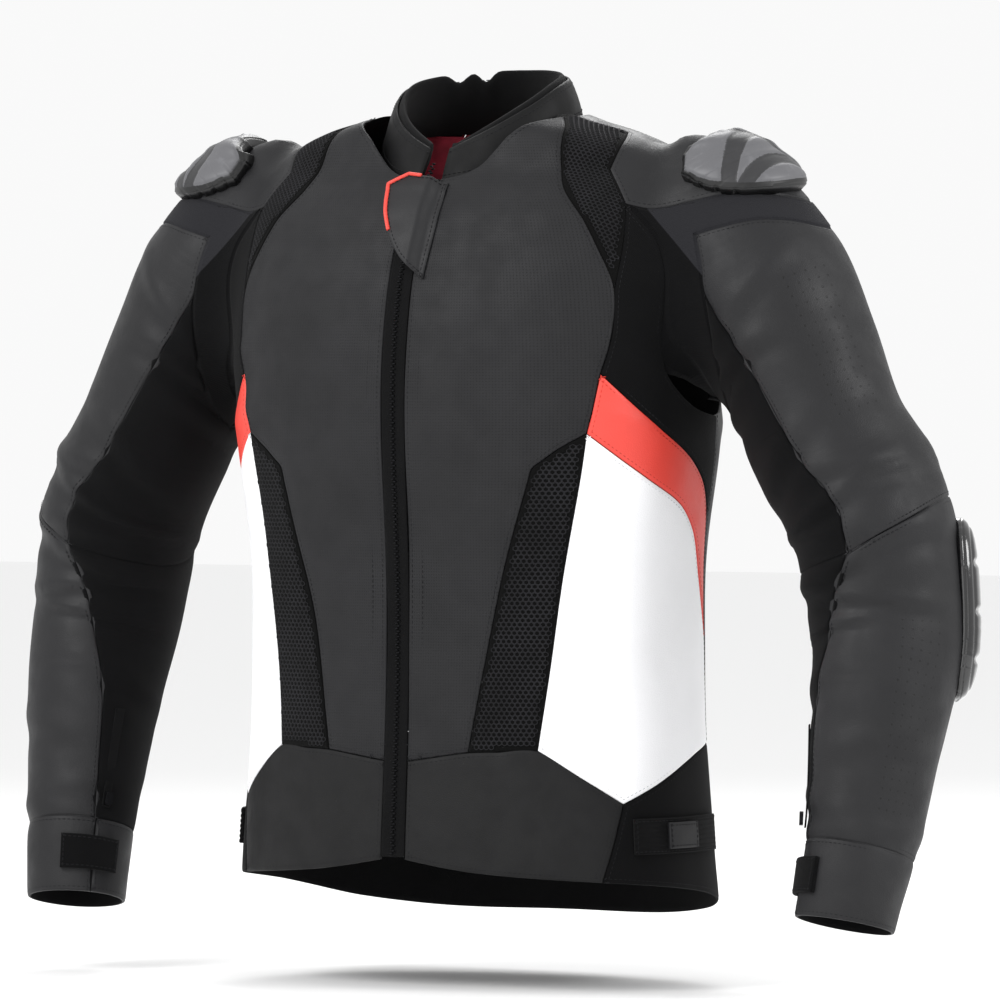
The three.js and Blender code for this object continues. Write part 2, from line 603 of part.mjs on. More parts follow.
// ---------------------------------------------------------------- collar
const COLLAR_GAP = 7;          // degrees from the middle to each end of the open collar
const collarBand = (low, high, gap) => outline(
  smooth([collarFlat([gap, low]), collarFlat([360 - gap, low])], 22),
  smooth([collarFlat([360 - gap, low]), collarFlat([360 - gap, high])], 22),
  smooth([collarFlat([360 - gap, high]), collarFlat([gap, high])], 22),
  smooth([collarFlat([gap, high]), collarFlat([gap, low])], 22));
add('collar', panel(onCollar, collarBand(0.1, 1, COLLAR_GAP)), LEATHER);
add('collar_liner', panel(onCollar, collarBand(0.2, 1.1, COLLAR_GAP + 1), { lift: -4.4, thickness: 4 }), SOFT);

// ---------------------------------------------------------------- main zip
const zipSide = [...line([ZIP_LOW, 57], [ZIP_LOW, 136]), ...frontEdge];
add('main_zip', panel(onTorso, outline(zipSide, back(zipSide).map(([x, y]) => [-x, y])),
  { lift: -0.6, thickness: 1.2, gap: 0.3 }), TAPE);

const ZIP_REST = 640;          // surface height of the slider when the jacket is closed
const zipAt = torsoPoint(0, ZIP_REST);
const zipBelow = torsoPoint(0, ZIP_REST - 86);
const zipDown = zipBelow.clone().sub(zipAt).normalize();
const zipOut = vec(0, zipDown.z, -zipDown.y);

function welded(geometry) {
  geometry.deleteAttribute('normal');
  geometry.deleteAttribute('uv');
  return mergeVertices(geometry);
}

// A flat plate with rounded corners, lying against the zip.
function plate(width, height, thickness, corner) {
  const shape = new THREE.Shape();
  const [w, h] = [width / 2, height / 2];
  shape.moveTo(-w + corner, -h);
  shape.lineTo(w - corner, -h);
  shape.lineTo(w, -h + corner);
  shape.lineTo(w, h - corner);
  shape.lineTo(w - corner, h);
  shape.lineTo(-w + corner, h);
  shape.lineTo(-w, h - corner);
  shape.lineTo(-w, -h + corner);
  return welded(new THREE.ExtrudeGeometry(shape, { depth: thickness, bevelEnabled: false }));
}
const against = (across, up, out, at) => new THREE.Matrix4().makeBasis(across, up, out).setPosition(at);
const SLIDER_LENGTH = 16;
const PULLER_LENGTH = 26;
const zipUp = zipDown.clone().negate();
const zipFrame = (at) => against(vec(1, 0, 0), zipUp, zipOut, at);
const sliderAt = zipAt.clone().addScaledVector(zipOut, 2.6);
add('zip_slider', plate(10, SLIDER_LENGTH, 4, 2).applyMatrix4(zipFrame(sliderAt)), METAL);
const pullerAt = sliderAt.clone().addScaledVector(zipOut, 4.5).addScaledVector(zipDown, PULLER_LENGTH / 2 - 3);
add('zip_puller', plate(6, PULLER_LENGTH, 1.6, 1.5).applyMatrix4(zipFrame(pullerAt)), METAL);

const FLAP_LIFT = 12.4;
add('storm_flap', panel(onTorso, outline(
  line([-8, 668], [-17, 656], [-11, 625], [-1, 588], [10, 562]), line([10, 562], [15, 664]),
  line([15, 664], [-8, 668])), { lift: FLAP_LIFT, thickness: 2 }), LEATHER);

// ---------------------------------------------------------------- cuffs, waist, back hem
addPair('cuff_zip', panel(onSleeve, rectangle(sleeveFlat, [548, 143], [636, 152]),
  { lift: 1.8, thickness: 1.3 }), TAPE);
const cuffSliderAt = sleevePoint(628, 147.5);
const cuffNormal = garmentNormal(cuffSliderAt);
const cuffUp = sleevePoint(560, 147.5).sub(cuffSliderAt).normalize();
const cuffOut = cuffNormal.clone().addScaledVector(cuffUp, -cuffNormal.dot(cuffUp)).normalize();
addPair('cuff_zip_slider', plate(7, 11, 3, 1.2).applyMatrix4(against(
  vec().crossVectors(cuffUp, cuffOut), cuffUp, cuffOut, cuffSliderAt.clone().addScaledVector(cuffOut, 3.4))), METAL);
addPair('cuff_tab', panel(onSleeve, rectangle(sleeveFlat, [662, 104], [690, 168]), { lift: 4.6, thickness: 2 }), STRETCH);
addPair('waist_strap', panel(onTorso, rectangle(torsoFlat, [70, 60], [103, 90]), { lift: 3.6, thickness: 1.6 }), STRETCH);
addPair('waist_tab', panel(onTorso, rectangle(torsoFlat, [79, 64], [90, 86]), { lift: 7.4, thickness: 2 }), LEATHER);

const TROUSER_ZIP = [170, 10, 3];
add('trouser_zip', new THREE.BoxGeometry(TROUSER_ZIP[0], TROUSER_ZIP[2], TROUSER_ZIP[1])
  .translate(0, 126, 74), TAPE);

// Hang loop: a strap whose flat underside rests on the hook.
const LOOP_HALF = 20;
const loopShape = new THREE.Shape([[-30, -10], [-27, -10], [-LOOP_HALF, 0], [LOOP_HALF, 0], [27, -10], [30, -10],
  [LOOP_HALF + 1.5, 2.4], [-LOOP_HALF - 1.5, 2.4]].map(([x, y]) => new THREE.Vector2(x, y)));
add('hang_loop', new THREE.ExtrudeGeometry(loopShape, { depth: 8, bevelEnabled: false })
  .rotateX(Math.PI / 2).translate(HANG_POINT[0], HANG_POINT[1] + 4, HANG_POINT[2]), TAPE);

export default jacket;
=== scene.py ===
import math
import bpy
import numpy as np
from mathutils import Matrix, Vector
from mathutils.bvhtree import BVHTree


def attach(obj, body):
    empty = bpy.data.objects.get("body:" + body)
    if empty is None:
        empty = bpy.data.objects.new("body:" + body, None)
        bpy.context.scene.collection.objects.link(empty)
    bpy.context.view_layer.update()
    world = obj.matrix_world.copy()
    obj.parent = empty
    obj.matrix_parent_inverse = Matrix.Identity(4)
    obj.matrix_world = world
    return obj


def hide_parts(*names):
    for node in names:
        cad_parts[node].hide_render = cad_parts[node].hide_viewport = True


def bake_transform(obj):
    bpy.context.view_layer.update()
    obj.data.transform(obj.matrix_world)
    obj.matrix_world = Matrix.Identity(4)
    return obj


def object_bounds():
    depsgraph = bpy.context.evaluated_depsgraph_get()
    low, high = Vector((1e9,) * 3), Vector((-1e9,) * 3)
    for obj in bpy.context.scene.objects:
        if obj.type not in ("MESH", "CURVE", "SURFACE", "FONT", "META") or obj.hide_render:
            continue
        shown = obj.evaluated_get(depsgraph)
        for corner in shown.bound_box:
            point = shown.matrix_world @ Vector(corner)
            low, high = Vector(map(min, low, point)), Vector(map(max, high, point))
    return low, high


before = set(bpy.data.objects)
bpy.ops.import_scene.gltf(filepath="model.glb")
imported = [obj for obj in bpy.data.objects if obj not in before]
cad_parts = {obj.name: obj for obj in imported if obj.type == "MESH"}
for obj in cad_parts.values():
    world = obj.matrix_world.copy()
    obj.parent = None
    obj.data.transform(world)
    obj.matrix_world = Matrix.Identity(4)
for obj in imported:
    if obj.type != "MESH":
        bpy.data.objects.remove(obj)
cad_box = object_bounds()
MM = 0.001
# the hang point in the garment's own frame, whose height is measured from the back hem, in millimetres
HANG = np.array((0.0, 76.0, 662.0))

# ---------------------------------------------------------------- the garment's surface, in millimetres
SQUARENESS = 2.35
FILLET = 46.0
TORSO = np.array((
    (-20, 212, 146, 2), (60, 204, 140, 0), (250, 196, 131, 0), (430, 212, 140, 0), (520, 214, 132, 2),
    (580, 208, 113, 6), (605, 200, 98, 8), (622, 190, 85, 9), (640, 172, 82, 10), (654, 137, 82, 10),
    (664, 101, 82, 10), (674, 80, 82, 9), (720, 76, 80, 9)), float)
SLEEVE = np.array((
    (188, 14, 662, -16), (216, 15, 610, 44), (253, 19, 540, 71), (291, 17, 470, 68), (322, 14, 405, 66),
    (358, 18, 340, 67), (376, 18, 246, 62), (378, 3, 190, 57), (376, -20, 95, 47), (371, -38, 30, 42),
    (369, -44, 4, 41)), float)
COLLAR = np.array((
    (0, 612, 636), (30, 618, 654), (60, 637, 674), (90, 660, 692), (120, 668, 700), (150, 671, 704),
    (180, 673, 705)), float)
COLLAR_BASE = (83.0, 86.0)
COLLAR_TOP = (73.0, 70.0)
COLLAR_Y = 8.0
TORSO_RADIUS = 150.0
SLEEVE_RADIUS = 62.0
# the sleeve is this much deeper than wide
SLEEVE_DEEPER = 1.05
# points are handled this many at a time, to save memory
ARM_BATCH = 8000
BORDER_BATCH = 2000


def look_up(table, at, column):
    """Smooth interpolation down one column of a table whose first column rises."""
    at = np.asarray(at, float)
    keys = table[:, 0]
    i = np.clip(np.searchsorted(keys, at, side="left") - 1, 0, len(keys) - 2)
    before = np.maximum(i - 1, 0)
    after = np.minimum(i + 2, len(keys) - 1)
    values = table[:, column]
    span = keys[i + 1] - keys[i]
    t = np.clip((at - keys[i]) / span, 0, 1)
    slope_in = span * (values[i + 1] - values[before]) / (keys[i + 1] - keys[before])
    slope_out = span * (values[after] - values[i]) / (keys[after] - keys[i])
    t2, t3 = t * t, t * t * t
    return ((2 * t3 - 3 * t2 + 1) * values[i] + (t3 - 2 * t2 + t) * slope_in
            + (3 * t2 - 2 * t3) * values[i + 1] + (t3 - t2) * slope_out)


def centripetal(points, steps):
    """A centripetal Catmull-Rom curve through the points, with that many steps in each span."""
    ends = np.vstack((2 * points[0] - points[1], points, 2 * points[-1] - points[-2]))
    line = []
    for a, b, c, d in zip(ends, ends[1:], ends[2:], ends[3:]):
        g0, g1, g2 = (math.sqrt(np.linalg.norm(q - p)) for p, q in ((a, b), (b, c), (c, d)))
        m1 = ((b - a) / g0 - (c - a) / (g0 + g1) + (c - b) / g1) * g1
        m2 = ((c - b) / g1 - (d - b) / (g1 + g2) + (d - c) / g2) * g1
        for k in range(steps):
            t = k / steps
            line.append((2 * t**3 - 3 * t**2 + 1) * b + (t**3 - 2 * t**2 + t) * m1
                        + (3 * t**2 - 2 * t**3) * c + (t**3 - t**2) * m2)
    line.append(points[-1])
    return np.array(line)


ARM_STEPS = 80
ARM_CURVE_STEPS = 60
arm_curve = centripetal(SLEEVE[:, :3], ARM_CURVE_STEPS)
arm_lengths = np.concatenate(([0.0], np.cumsum(np.linalg.norm(np.diff(arm_curve, axis=0), axis=1))))
ARM_LENGTH = arm_lengths[-1]
arm_at = np.linspace(0, ARM_LENGTH, ARM_STEPS + 1)
arm_points = np.stack([np.interp(arm_at, arm_lengths, arm_curve[:, k]) for k in range(3)], 1)
arm_radius = np.stack((arm_lengths[::ARM_CURVE_STEPS], SLEEVE[:, 3]), 1)


def arm_frame(along):
    """The sleeve's middle at those distances, with its outward and forward directions."""
    middle = np.stack([np.interp(along, arm_lengths, arm_curve[:, k]) for k in range(3)], 1)
    ahead = np.stack([np.interp(along + 4, arm_lengths, arm_curve[:, k]) for k in range(3)], 1)
    behind = np.stack([np.interp(along - 4, arm_lengths, arm_curve[:, k]) for k in range(3)], 1)
    down = ahead - behind
    down /= np.linalg.norm(down, axis=1)[:, None]
    outward = np.stack((-down[:, 2], np.zeros(len(down)), down[:, 0]), 1)
    outward /= np.linalg.norm(outward, axis=1)[:, None]
    forward = np.cross(down, outward)
    return middle, outward, forward


def along_arm(p):
    """How far down the sleeve each point lies."""
    result = np.empty(len(p))
    legs = np.diff(arm_points, axis=0)
    squares = (legs**2).sum(1)
    for low in range(0, len(p), ARM_BATCH):
        q = p[low:low + ARM_BATCH]
        away = q[:, None, :] - arm_points[None, :-1, :]
        t = np.clip((away * legs[None]).sum(2) / squares[None], 0, 1)
        gap = ((away - t[:, :, None] * legs[None])**2).sum(2)
        i = gap.argmin(1)
        result[low:low + ARM_BATCH] = (i + t[np.arange(len(q)), i]) / ARM_STEPS * ARM_LENGTH
    return result


def sleeve_place(p):
    """Distance along the arm and degrees round it: 0 outside, 90 front, 180 inner, 270 back."""
    along = along_arm(p)
    middle, outward, forward = arm_frame(along)
    away = p - middle
    angle = np.degrees(np.arctan2((away * forward).sum(1), (away * outward).sum(1))) % 360
    return along, angle


def arm_distance(p):
    along = along_arm(p)
    middle, outward, forward = arm_frame(along)
    away = p - middle
    return (np.hypot((away * outward).sum(1), (away * forward).sum(1) / SLEEVE_DEEPER)
            - look_up(arm_radius, along, 1))


def torso_distance(p):
    z = p[:, 2]
    half_width, half_depth = look_up(TORSO, z, 1), look_up(TORSO, z, 2)
    x = np.abs(p[:, 0])
    y = np.abs(p[:, 1] - look_up(TORSO, z, 3))
    size = np.maximum((x / half_width)**SQUARENESS + (y / half_depth)**SQUARENESS, 1e-9)**(1 / SQUARENESS)
    out = np.hypot(x, y)
    widening = (look_up(TORSO, z + 2, 1) - look_up(TORSO, z - 2, 1)) / 4
    deepening = (look_up(TORSO, z + 2, 2) - look_up(TORSO, z - 2, 2)) / 4
    sideways = x * x / np.maximum(out * out, 1e-9)
    slope = widening * sideways + deepening * (1 - sideways)
    return out * (1 - 1 / size) / np.sqrt(1 + slope * slope)


def garment_distance(p):
    """How far each point is outside the garment's surface, in millimetres."""
    q = p.copy()
    q[:, 0] = np.abs(q[:, 0])
    torso = torso_distance(q)
    arm = np.full(len(q), 1e3)
    near_arm = q[:, 0] > 90
    if near_arm.any():
        arm[near_arm] = arm_distance(q[near_arm])
    near = np.maximum(FILLET - np.abs(torso - arm), 0) / FILLET
    return np.minimum(torso, arm) - near * near * FILLET / 4


def garment_normal(p):
    slopes = []
    for k in range(3):
        step = np.zeros(3)
        step[k] = 1.5
        slopes.append(garment_distance(p + step) - garment_distance(p - step))
    n = np.stack(slopes, 1)
    return n / np.linalg.norm(n, axis=1)[:, None]


# ---------------------------------------------------------------- from CAD panels to fine skins
def cad_mesh(node):
    """A CAD node's corners, in garment millimetres, and its triangles."""
    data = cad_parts[node].data
    data.calc_loop_triangles()
    raw = np.empty(len(data.vertices) * 3)
    data.vertices.foreach_get("co", raw)
    raw = raw.reshape(-1, 3) / MM + HANG
    tris = np.empty(len(data.loop_triangles) * 3, int)
    data.loop_triangles.foreach_get("vertices", tris)
    _, first, where = np.unique(np.round(raw, 2), axis=0, return_index=True, return_inverse=True)
    return raw[first], where.reshape(-1)[tris].reshape(-1, 3)


def outer_face(points, tris):
    """The triangles on the outer side of a shell."""
    a, b, c = (points[tris[:, k]] for k in range(3))
    facing = unit(np.cross(b - a, c - a))
    return tris[(facing * garment_normal((a + b + c) / 3)).sum(1) > 0.5]


def border_edges(tris):
    """The next corner after each corner of the border."""
    half = np.concatenate((tris[:, [0, 1]], tris[:, [1, 2]], tris[:, [2, 0]]))
    seen = {(a, b) for a, b in half.tolist()}
    return {a: b for a, b in half.tolist() if (b, a) not in seen}


def finer(points, tris):
    """Each triangle becomes four. Border edges bend smoothly through the corners that aren't sharp."""
    after = border_edges(tris)
    before = {b: a for a, b in after.items()}

    def sharp(k):
        u = points[k] - points[before[k]]
        v = points[after[k]] - points[k]
        return u @ v < 0.8 * np.linalg.norm(u) * np.linalg.norm(v)

    half = np.concatenate((tris[:, [0, 1]], tris[:, [1, 2]], tris[:, [2, 0]]))
    keys, where = np.unique(np.sort(half, axis=1), axis=0, return_inverse=True)
    where = where.reshape(-1)
    middles = (points[keys[:, 0]] + points[keys[:, 1]]) / 2
    place = {tuple(k): i for i, k in enumerate(keys.tolist())}
    for a, b in after.items():
        start = points[b] if sharp(a) else points[before[a]]
        end = points[a] if sharp(b) else points[after[b]]
        bend = (points[a] + points[b] - start - end) / 16
        if sharp(a) and sharp(b):
            bend = 0
        middles[place[(min(a, b), max(a, b))]] += bend
    count, n = len(tris), len(points)
    ab, bc, ca = (where[k * count:(k + 1) * count] + n for k in range(3))
    a, b, c = tris.T
    faces = np.concatenate([np.stack(t, 1) for t in ((a, ab, ca), (b, bc, ab), (c, ca, bc), (ab, bc, ca))])
    return np.vstack((points, middles)), faces


def compact(points, tris):
    """Only the points that the triangles use."""
    used, where = np.unique(tris, return_inverse=True)
    return points[used], where.reshape(tris.shape)


def loops_of(after):
    """The border edges, joined into closed loops."""
    rest = dict(after)
    found = []
    while rest:
        start = next(iter(rest))
        loop = [start]
        k = rest.pop(start)
        while k != start:
            loop.append(k)
            k = rest.pop(k)
        found.append(loop)
    return found


def unit(v):
    return v / np.maximum(np.linalg.norm(v, axis=-1, keepdims=True), 1e-9)


def flat_place(p, arm):
    """Where a point of the garment lies on its flat pattern, in metres."""
    q = p.copy()
    q[:, 0] = np.abs(q[:, 0])
    if arm:
        along, angle = sleeve_place(q)
        return np.stack((np.radians(angle) * SLEEVE_RADIUS, along), 1) * MM
    angle = np.arctan2(p[:, 0], -(p[:, 1] - 5)) % (2 * math.pi)
    return np.stack((angle * TORSO_RADIUS, p[:, 2]), 1) * MM


def tube_bits(at, along, up, length, width, height):
    """Small rounded bars, such as stitches: points and faces."""
    side = np.cross(along, up)
    ring = [(-1, 0), (-0.5, 1), (0.5, 1), (1, 0)]
    points, faces = [], []
    for e, shrink in ((-0.5, 0.35), (-0.32, 1), (0.32, 1), (0.5, 0.35)):
        for s, h in ring:
            points.append(at + along * length * e + side * width / 2 * s * shrink
                          + up * (height * h * shrink - 0.1))
    count = len(at)
    points = np.stack(points, 1).reshape(-1, 3)
    for k in range(3):
        for j in range(4):
            a, b = k * 4 + j, k * 4 + (j + 1) % 4
            faces.append((a, b, b + 4, a + 4))
    faces += [(3, 2, 1, 0), (12, 13, 14, 15)]
    faces = (np.arange(count)[:, None, None] * 16 + np.array(faces)[None]).reshape(-1, 4)
    return points, faces


EDGE_RADIUS = 1.1
# the red lining starts above this height and behind this depth
LINING_LOW = 590.0
LINING_FRONT = 85.0
STITCH_PITCH = 4.2
STITCH_LENGTH = 2.8
STITCH_WIDTH = 0.85
STITCH_HEIGHT = 0.5
# a border with this few corners gets no stitches
SHORT_LOOP = 8
# the row of stitches beside the main zip
FRONT_ROW_REACH = 30.0
FRONT_ROW_LOW = 70.0
FRONT_ROW_INSET = 13
# the strip under the neighbouring piece: share of its reach, depth below the surface
FLANGE_RINGS = ((0.15, 1.3), (0.5, 1.3), (1.0, 1.5), (1.0, 2.3))
# the rounded rim: share of the radius inwards, and down
RIM_RINGS = ((0.35, 0.3), (0.0, 1.0))


def stitches(line, inward, normals, inset, closed=True):
    """A row of stitches beside a border."""
    path = line + inward * inset
    if closed:
        path, normals = np.vstack((path, path[:1])), np.vstack((normals, normals[:1]))
    run = np.concatenate(([0.0], np.cumsum(np.linalg.norm(np.diff(path, axis=0), axis=1))))
    if run[-1] < 3 * STITCH_PITCH:
        return None
    at = np.arange(STITCH_PITCH / 2, run[-1], STITCH_PITCH)
    where = [np.stack([np.interp(at + e, run, path[:, k]) for k in range(3)], 1) for e in (-1.2, 0, 1.2)]
    up = unit(np.stack([np.interp(at, run, normals[:, k]) for k in range(3)], 1))
    along = unit(where[2] - where[0])
    up = unit(up - along * (up * along).sum(1)[:, None])
    return tube_bits(where[1], along, up, STITCH_LENGTH, STITCH_WIDTH, STITCH_HEIGHT)


def make_object(name, points, faces, uv=None, materials=(), index=None):
    """points in garment millimetres; faces is a list of arrays of triangles or quads."""
    data = bpy.data.meshes.new(name)
    face_list = [f for block in faces for f in block.tolist()]
    data.from_pydata(((points - HANG) * MM).tolist(), [], face_list)
    if uv is not None:
        layer = data.uv_layers.new(name="pattern")
        loops = np.empty(len(data.loops), int)
        data.loops.foreach_get("vertex_index", loops)
        layer.data.foreach_set("uv", uv[loops].reshape(-1))
    for m in materials:
        data.materials.append(m)
    if index is not None:
        data.polygons.foreach_set("material_index", index)
    data.polygons.foreach_set("use_smooth", np.ones(len(data.polygons), bool))
    data.update()
    piece = bpy.data.objects.new(name, data)
    bpy.context.scene.collection.objects.link(piece)
    return piece


def mirror(points, faces):
    return points * (-1, 1, 1), [f[:, ::-1] for f in faces]


def border_distance(points, tris):
    """Each point's distance from the nearest border point."""
    border = points[np.array(sorted(border_edges(tris)))]
    result = np.empty(len(points))
    for low in range(0, len(points), BORDER_BATCH):
        gap = points[low:low + BORDER_BATCH, None, :] - border[None]
        result[low:low + BORDER_BATCH] = np.sqrt((gap**2).sum(2).min(1))
    return result


def skin(node, lift=0.0, thickness=2.4, levels=3, arm=False, relief=None, rows=(3.4,), front_row=False,
         edge=EDGE_RADIUS, depth=None, profile=None, lined=False, flange=0.0, paint=None, side=0):
    """A CAD panel made fine: on the true surface, with a rounded rim, relief and stitching.

    The materials are numbered 0 face, 1 thread, 2 red lining, 3 inside; side is the number on the rim.
    """
    points, tris = cad_mesh(node)
    points, tris = compact(points, outer_face(points, tris))
    for _ in range(levels):
        points, tris = finer(points, tris)
    for _ in range(2):
        n = garment_normal(points)
        points = points + n * (lift - garment_distance(points))[:, None]
    first, second, third = tris[0]
    if np.cross(points[second] - points[first], points[third] - points[first]) @ n[first] < 0:
        tris = tris[:, ::-1]
    uv = flat_place(points, arm)
    rest = points.copy()
    if relief is not None:
        points = points + n * relief(rest, uv)[:, None]
    away = border_distance(rest, tris) if profile is not None or paint is not None else None
    if profile is not None:
        points = points + n * profile(away)[:, None]
    painted = np.zeros(len(tris), int)
    if paint is not None:
        painted, raised = paint(rest, away, tris)
        points = points + n * raised[:, None]
    count = len(points)
    all_points, all_uv, faces = [points.copy()], [uv], [tris]
    inner_faces = tris[:, ::-1] + count
    floor = garment_distance(points) - lift + depth if depth else np.full(count, thickness)
    all_points.append(points - n * floor[:, None])
    all_uv.append(uv)
    total = 2 * count
    stitch_blocks = []
    for loop in loops_of(border_edges(tris)):
        loop = np.array(loop)
        ahead, behind = np.roll(loop, -1), np.roll(loop, 1)
        tangent = unit(unit(points[ahead] - points[loop]) + unit(points[loop] - points[behind]))
        inward = unit(np.cross(n[loop], tangent))
        rim = points[loop]
        rings = [loop]
        all_points[0][loop] = rim + inward * edge
        size = len(loop)
        for step_in, drop in RIM_RINGS:
            all_points.append(rim + inward * edge * step_in - n[loop] * edge * drop)
            all_uv.append(uv[loop])
            rings.append(np.arange(total, total + size))
            total += size
        for reach, drop in FLANGE_RINGS if flange else ():
            under = rim - inward * flange * reach
            for _ in range(2):
                m = garment_normal(under)
                under = under - m * (garment_distance(under) - lift + drop)[:, None]
            all_points.append(under)
            all_uv.append(uv[loop])
            rings.append(np.arange(total, total + size))
            total += size
        rings.append(loop + count)
        for one, two in zip(rings, rings[1:]):
            faces.append(np.stack((two, np.roll(two, -1), np.roll(one, -1), one), 1))
        for inset in rows:
            if len(loop) > SHORT_LOOP:
                stitch_blocks.append(stitches(rim, inward, n[loop], inset))
        if front_row:
            keep = (np.abs(rest[loop][:, 0]) < FRONT_ROW_REACH) & (rest[loop][:, 2] > FRONT_ROW_LOW)
            order = np.argsort(rest[loop][keep][:, 2])
            ordered = (part[keep][order] for part in (rim, inward, n[loop]))
            stitch_blocks.append(stitches(*ordered, FRONT_ROW_INSET, False))
    index = np.full(sum(len(f) for f in faces), side)
    index[:len(tris)] = painted
    faces.append(inner_faces)
    middle = rest[tris].mean(1)
    neck = (middle[:, 2] > LINING_LOW) & (middle[:, 1] > LINING_FRONT)
    index = np.concatenate((index, np.where(neck, 2, 3) if lined else np.zeros(len(tris), int)))
    for block in stitch_blocks:
        if block is None:
            continue
        p, f = block
        all_points.append(p)
        all_uv.append(np.zeros((len(p), 2)))
        faces.append(f + total)
        index = np.concatenate((index, np.ones(len(f), int)))
        total += len(p)
    return np.vstack(all_points), faces, np.vstack(all_uv), index


# ---------------------------------------------------------------- materials
def linear(r, g, b):
    return tuple(c / 255 / 12.92 if c <= 10 else ((c / 255 + 0.055) / 1.055)**2.4 for c in (r, g, b)) + (1.0,)


class Nodes:
    """A material's node tree, with a few words for the nodes used here."""

    def __init__(self, name, roughness, metallic=0.0, specular=0.5, sheen=0.0, coat=0.0):
        self.material = bpy.data.materials.new(name)
        self.material.use_nodes = True
        self.tree = self.material.node_tree
        self.shader = self.tree.nodes["Principled BSDF"]
        self.shader.inputs["Metallic"].default_value = metallic
        self.shader.inputs["Roughness"].default_value = roughness
        self.shader.inputs["Specular IOR Level"].default_value = specular
        self.shader.inputs["Sheen Weight"].default_value = sheen
        self.shader.inputs["Sheen Roughness"].default_value = 0.5
        self.shader.inputs["Coat Weight"].default_value = coat
        self.shader.inputs["Coat Roughness"].default_value = 0.08
        self.place = self.tree.nodes.new("ShaderNodeTexCoord")
        self.height = None

    def put(self, socket, value):
        if isinstance(value, bpy.types.NodeSocket):
            self.tree.links.new(value, socket)
        else:
            socket.default_value = value

    def math(self, operation, a, b=0.0, c=0.0):
        node = self.tree.nodes.new("ShaderNodeMath")
        node.operation = operation
        for socket, value in zip(node.inputs, (a, b, c)):
            self.put(socket, value)
        return node.outputs[0]

    def noise(self, scale, detail=3.0, source="Object"):
        node = self.tree.nodes.new("ShaderNodeTexNoise")
        node.inputs["Scale"].default_value = scale
        node.inputs["Detail"].default_value = detail
        self.put(node.inputs["Vector"], self.place.outputs[source])
        return node.outputs["Fac"]

    def cells(self, scale):
        node = self.tree.nodes.new("ShaderNodeTexVoronoi")
        node.feature = "DISTANCE_TO_EDGE"
        node.inputs["Scale"].default_value = scale
        self.put(node.inputs["Vector"], self.place.outputs["Object"])
        return node.outputs["Distance"]

    def pattern(self):
        node = self.tree.nodes.new("ShaderNodeSeparateXYZ")
        self.put(node.inputs[0], self.place.outputs["UV"])
        return node.outputs[0], node.outputs[1]

    def spread(self, value, low, high, to_low=0.0, to_high=1.0):
        node = self.tree.nodes.new("ShaderNodeMapRange")
        node.interpolation_type = "SMOOTHSTEP"
        for socket, v in zip(node.inputs, (value, low, high, to_low, to_high)):
            self.put(socket, v)
        return node.outputs[0]

    def mix(self, amount, one, two):
        node = self.tree.nodes.new("ShaderNodeMix")
        node.data_type = "RGBA"
        self.put(node.inputs[0], amount)
        self.put(node.inputs[6], one)
        self.put(node.inputs[7], two)
        return node.outputs[2]

    def bump(self, value, distance, strength=1.0):
        node = self.tree.nodes.new("ShaderNodeBump")
        node.inputs["Strength"].default_value = strength
        node.inputs["Distance"].default_value = distance
        self.put(node.inputs["Height"], value)
        if self.height is not None:
            self.put(node.inputs["Normal"], self.height)
        self.height = node.outputs[0]
        self.put(self.shader.inputs["Normal"], self.height)

    def colour(self, value):
        self.put(self.shader.inputs["Base Color"], value)

    def rough(self, value):
        self.put(self.shader.inputs["Roughness"], value)


def shade(rgb, factor):
    return linear(*(min(255, c * factor) for c in rgb))


PATCH_SOFTNESS = 0.002


def leather(name, rgb, roughness, holes=0.0, specular=0.5, patch=None, hole=(0.14, 0.26), blotch=0.07):
    """Grained leather. holes is the pitch of its perforation in metres, and each hole is painted dark as
    painted shade; patch limits where it is.
    """
    m = Nodes(name, roughness, specular=specular)
    base = m.mix(m.spread(m.noise(14.0, 4.0), 0.3, 0.7), shade(rgb, 1 - blotch), shade(rgb, 1 + blotch))
    m.rough(m.spread(m.noise(45.0, 3.0), 0.25, 0.75, roughness - 0.06, roughness + 0.08))
    m.bump(m.spread(m.cells(620.0), 0.0, 0.3), 0.00012, 0.5)
    m.bump(m.noise(260.0, 4.0), 0.0002, 0.5)
    m.bump(m.noise(26.0, 3.0), 0.0012, 0.5)
    if holes:
        u, v = m.pattern()
        du = m.math("SUBTRACT", m.math("FRACT", m.math("DIVIDE", u, holes)), 0.5)
        dv = m.math("SUBTRACT", m.math("FRACT", m.math("DIVIDE", v, holes)), 0.5)
        gap = m.math("SQRT", m.math("ADD", m.math("MULTIPLY", du, du), m.math("MULTIPLY", dv, dv)))
        hole = m.spread(gap, hole[0], hole[1], 1.0, 0.0)
        if patch is not None:
            low, high = patch
            inside = 1.0
            for at, start, end in zip((u, v), low, high):
                inside = m.math("MULTIPLY", inside, m.spread(at, start, start + PATCH_SOFTNESS))
                inside = m.math("MULTIPLY", inside, m.spread(at, end - PATCH_SOFTNESS, end, 1.0, 0.0))
            hole = m.math("MULTIPLY", hole, inside)
        # each hole is painted dark, 0.35 of the leather's colour: painted shade inside the perforation
        base = m.mix(hole, base, shade(rgb, 0.35))
        m.bump(m.math("SUBTRACT", 1.0, hole), 0.0004, 0.6)
    m.colour(base)
    return m.material


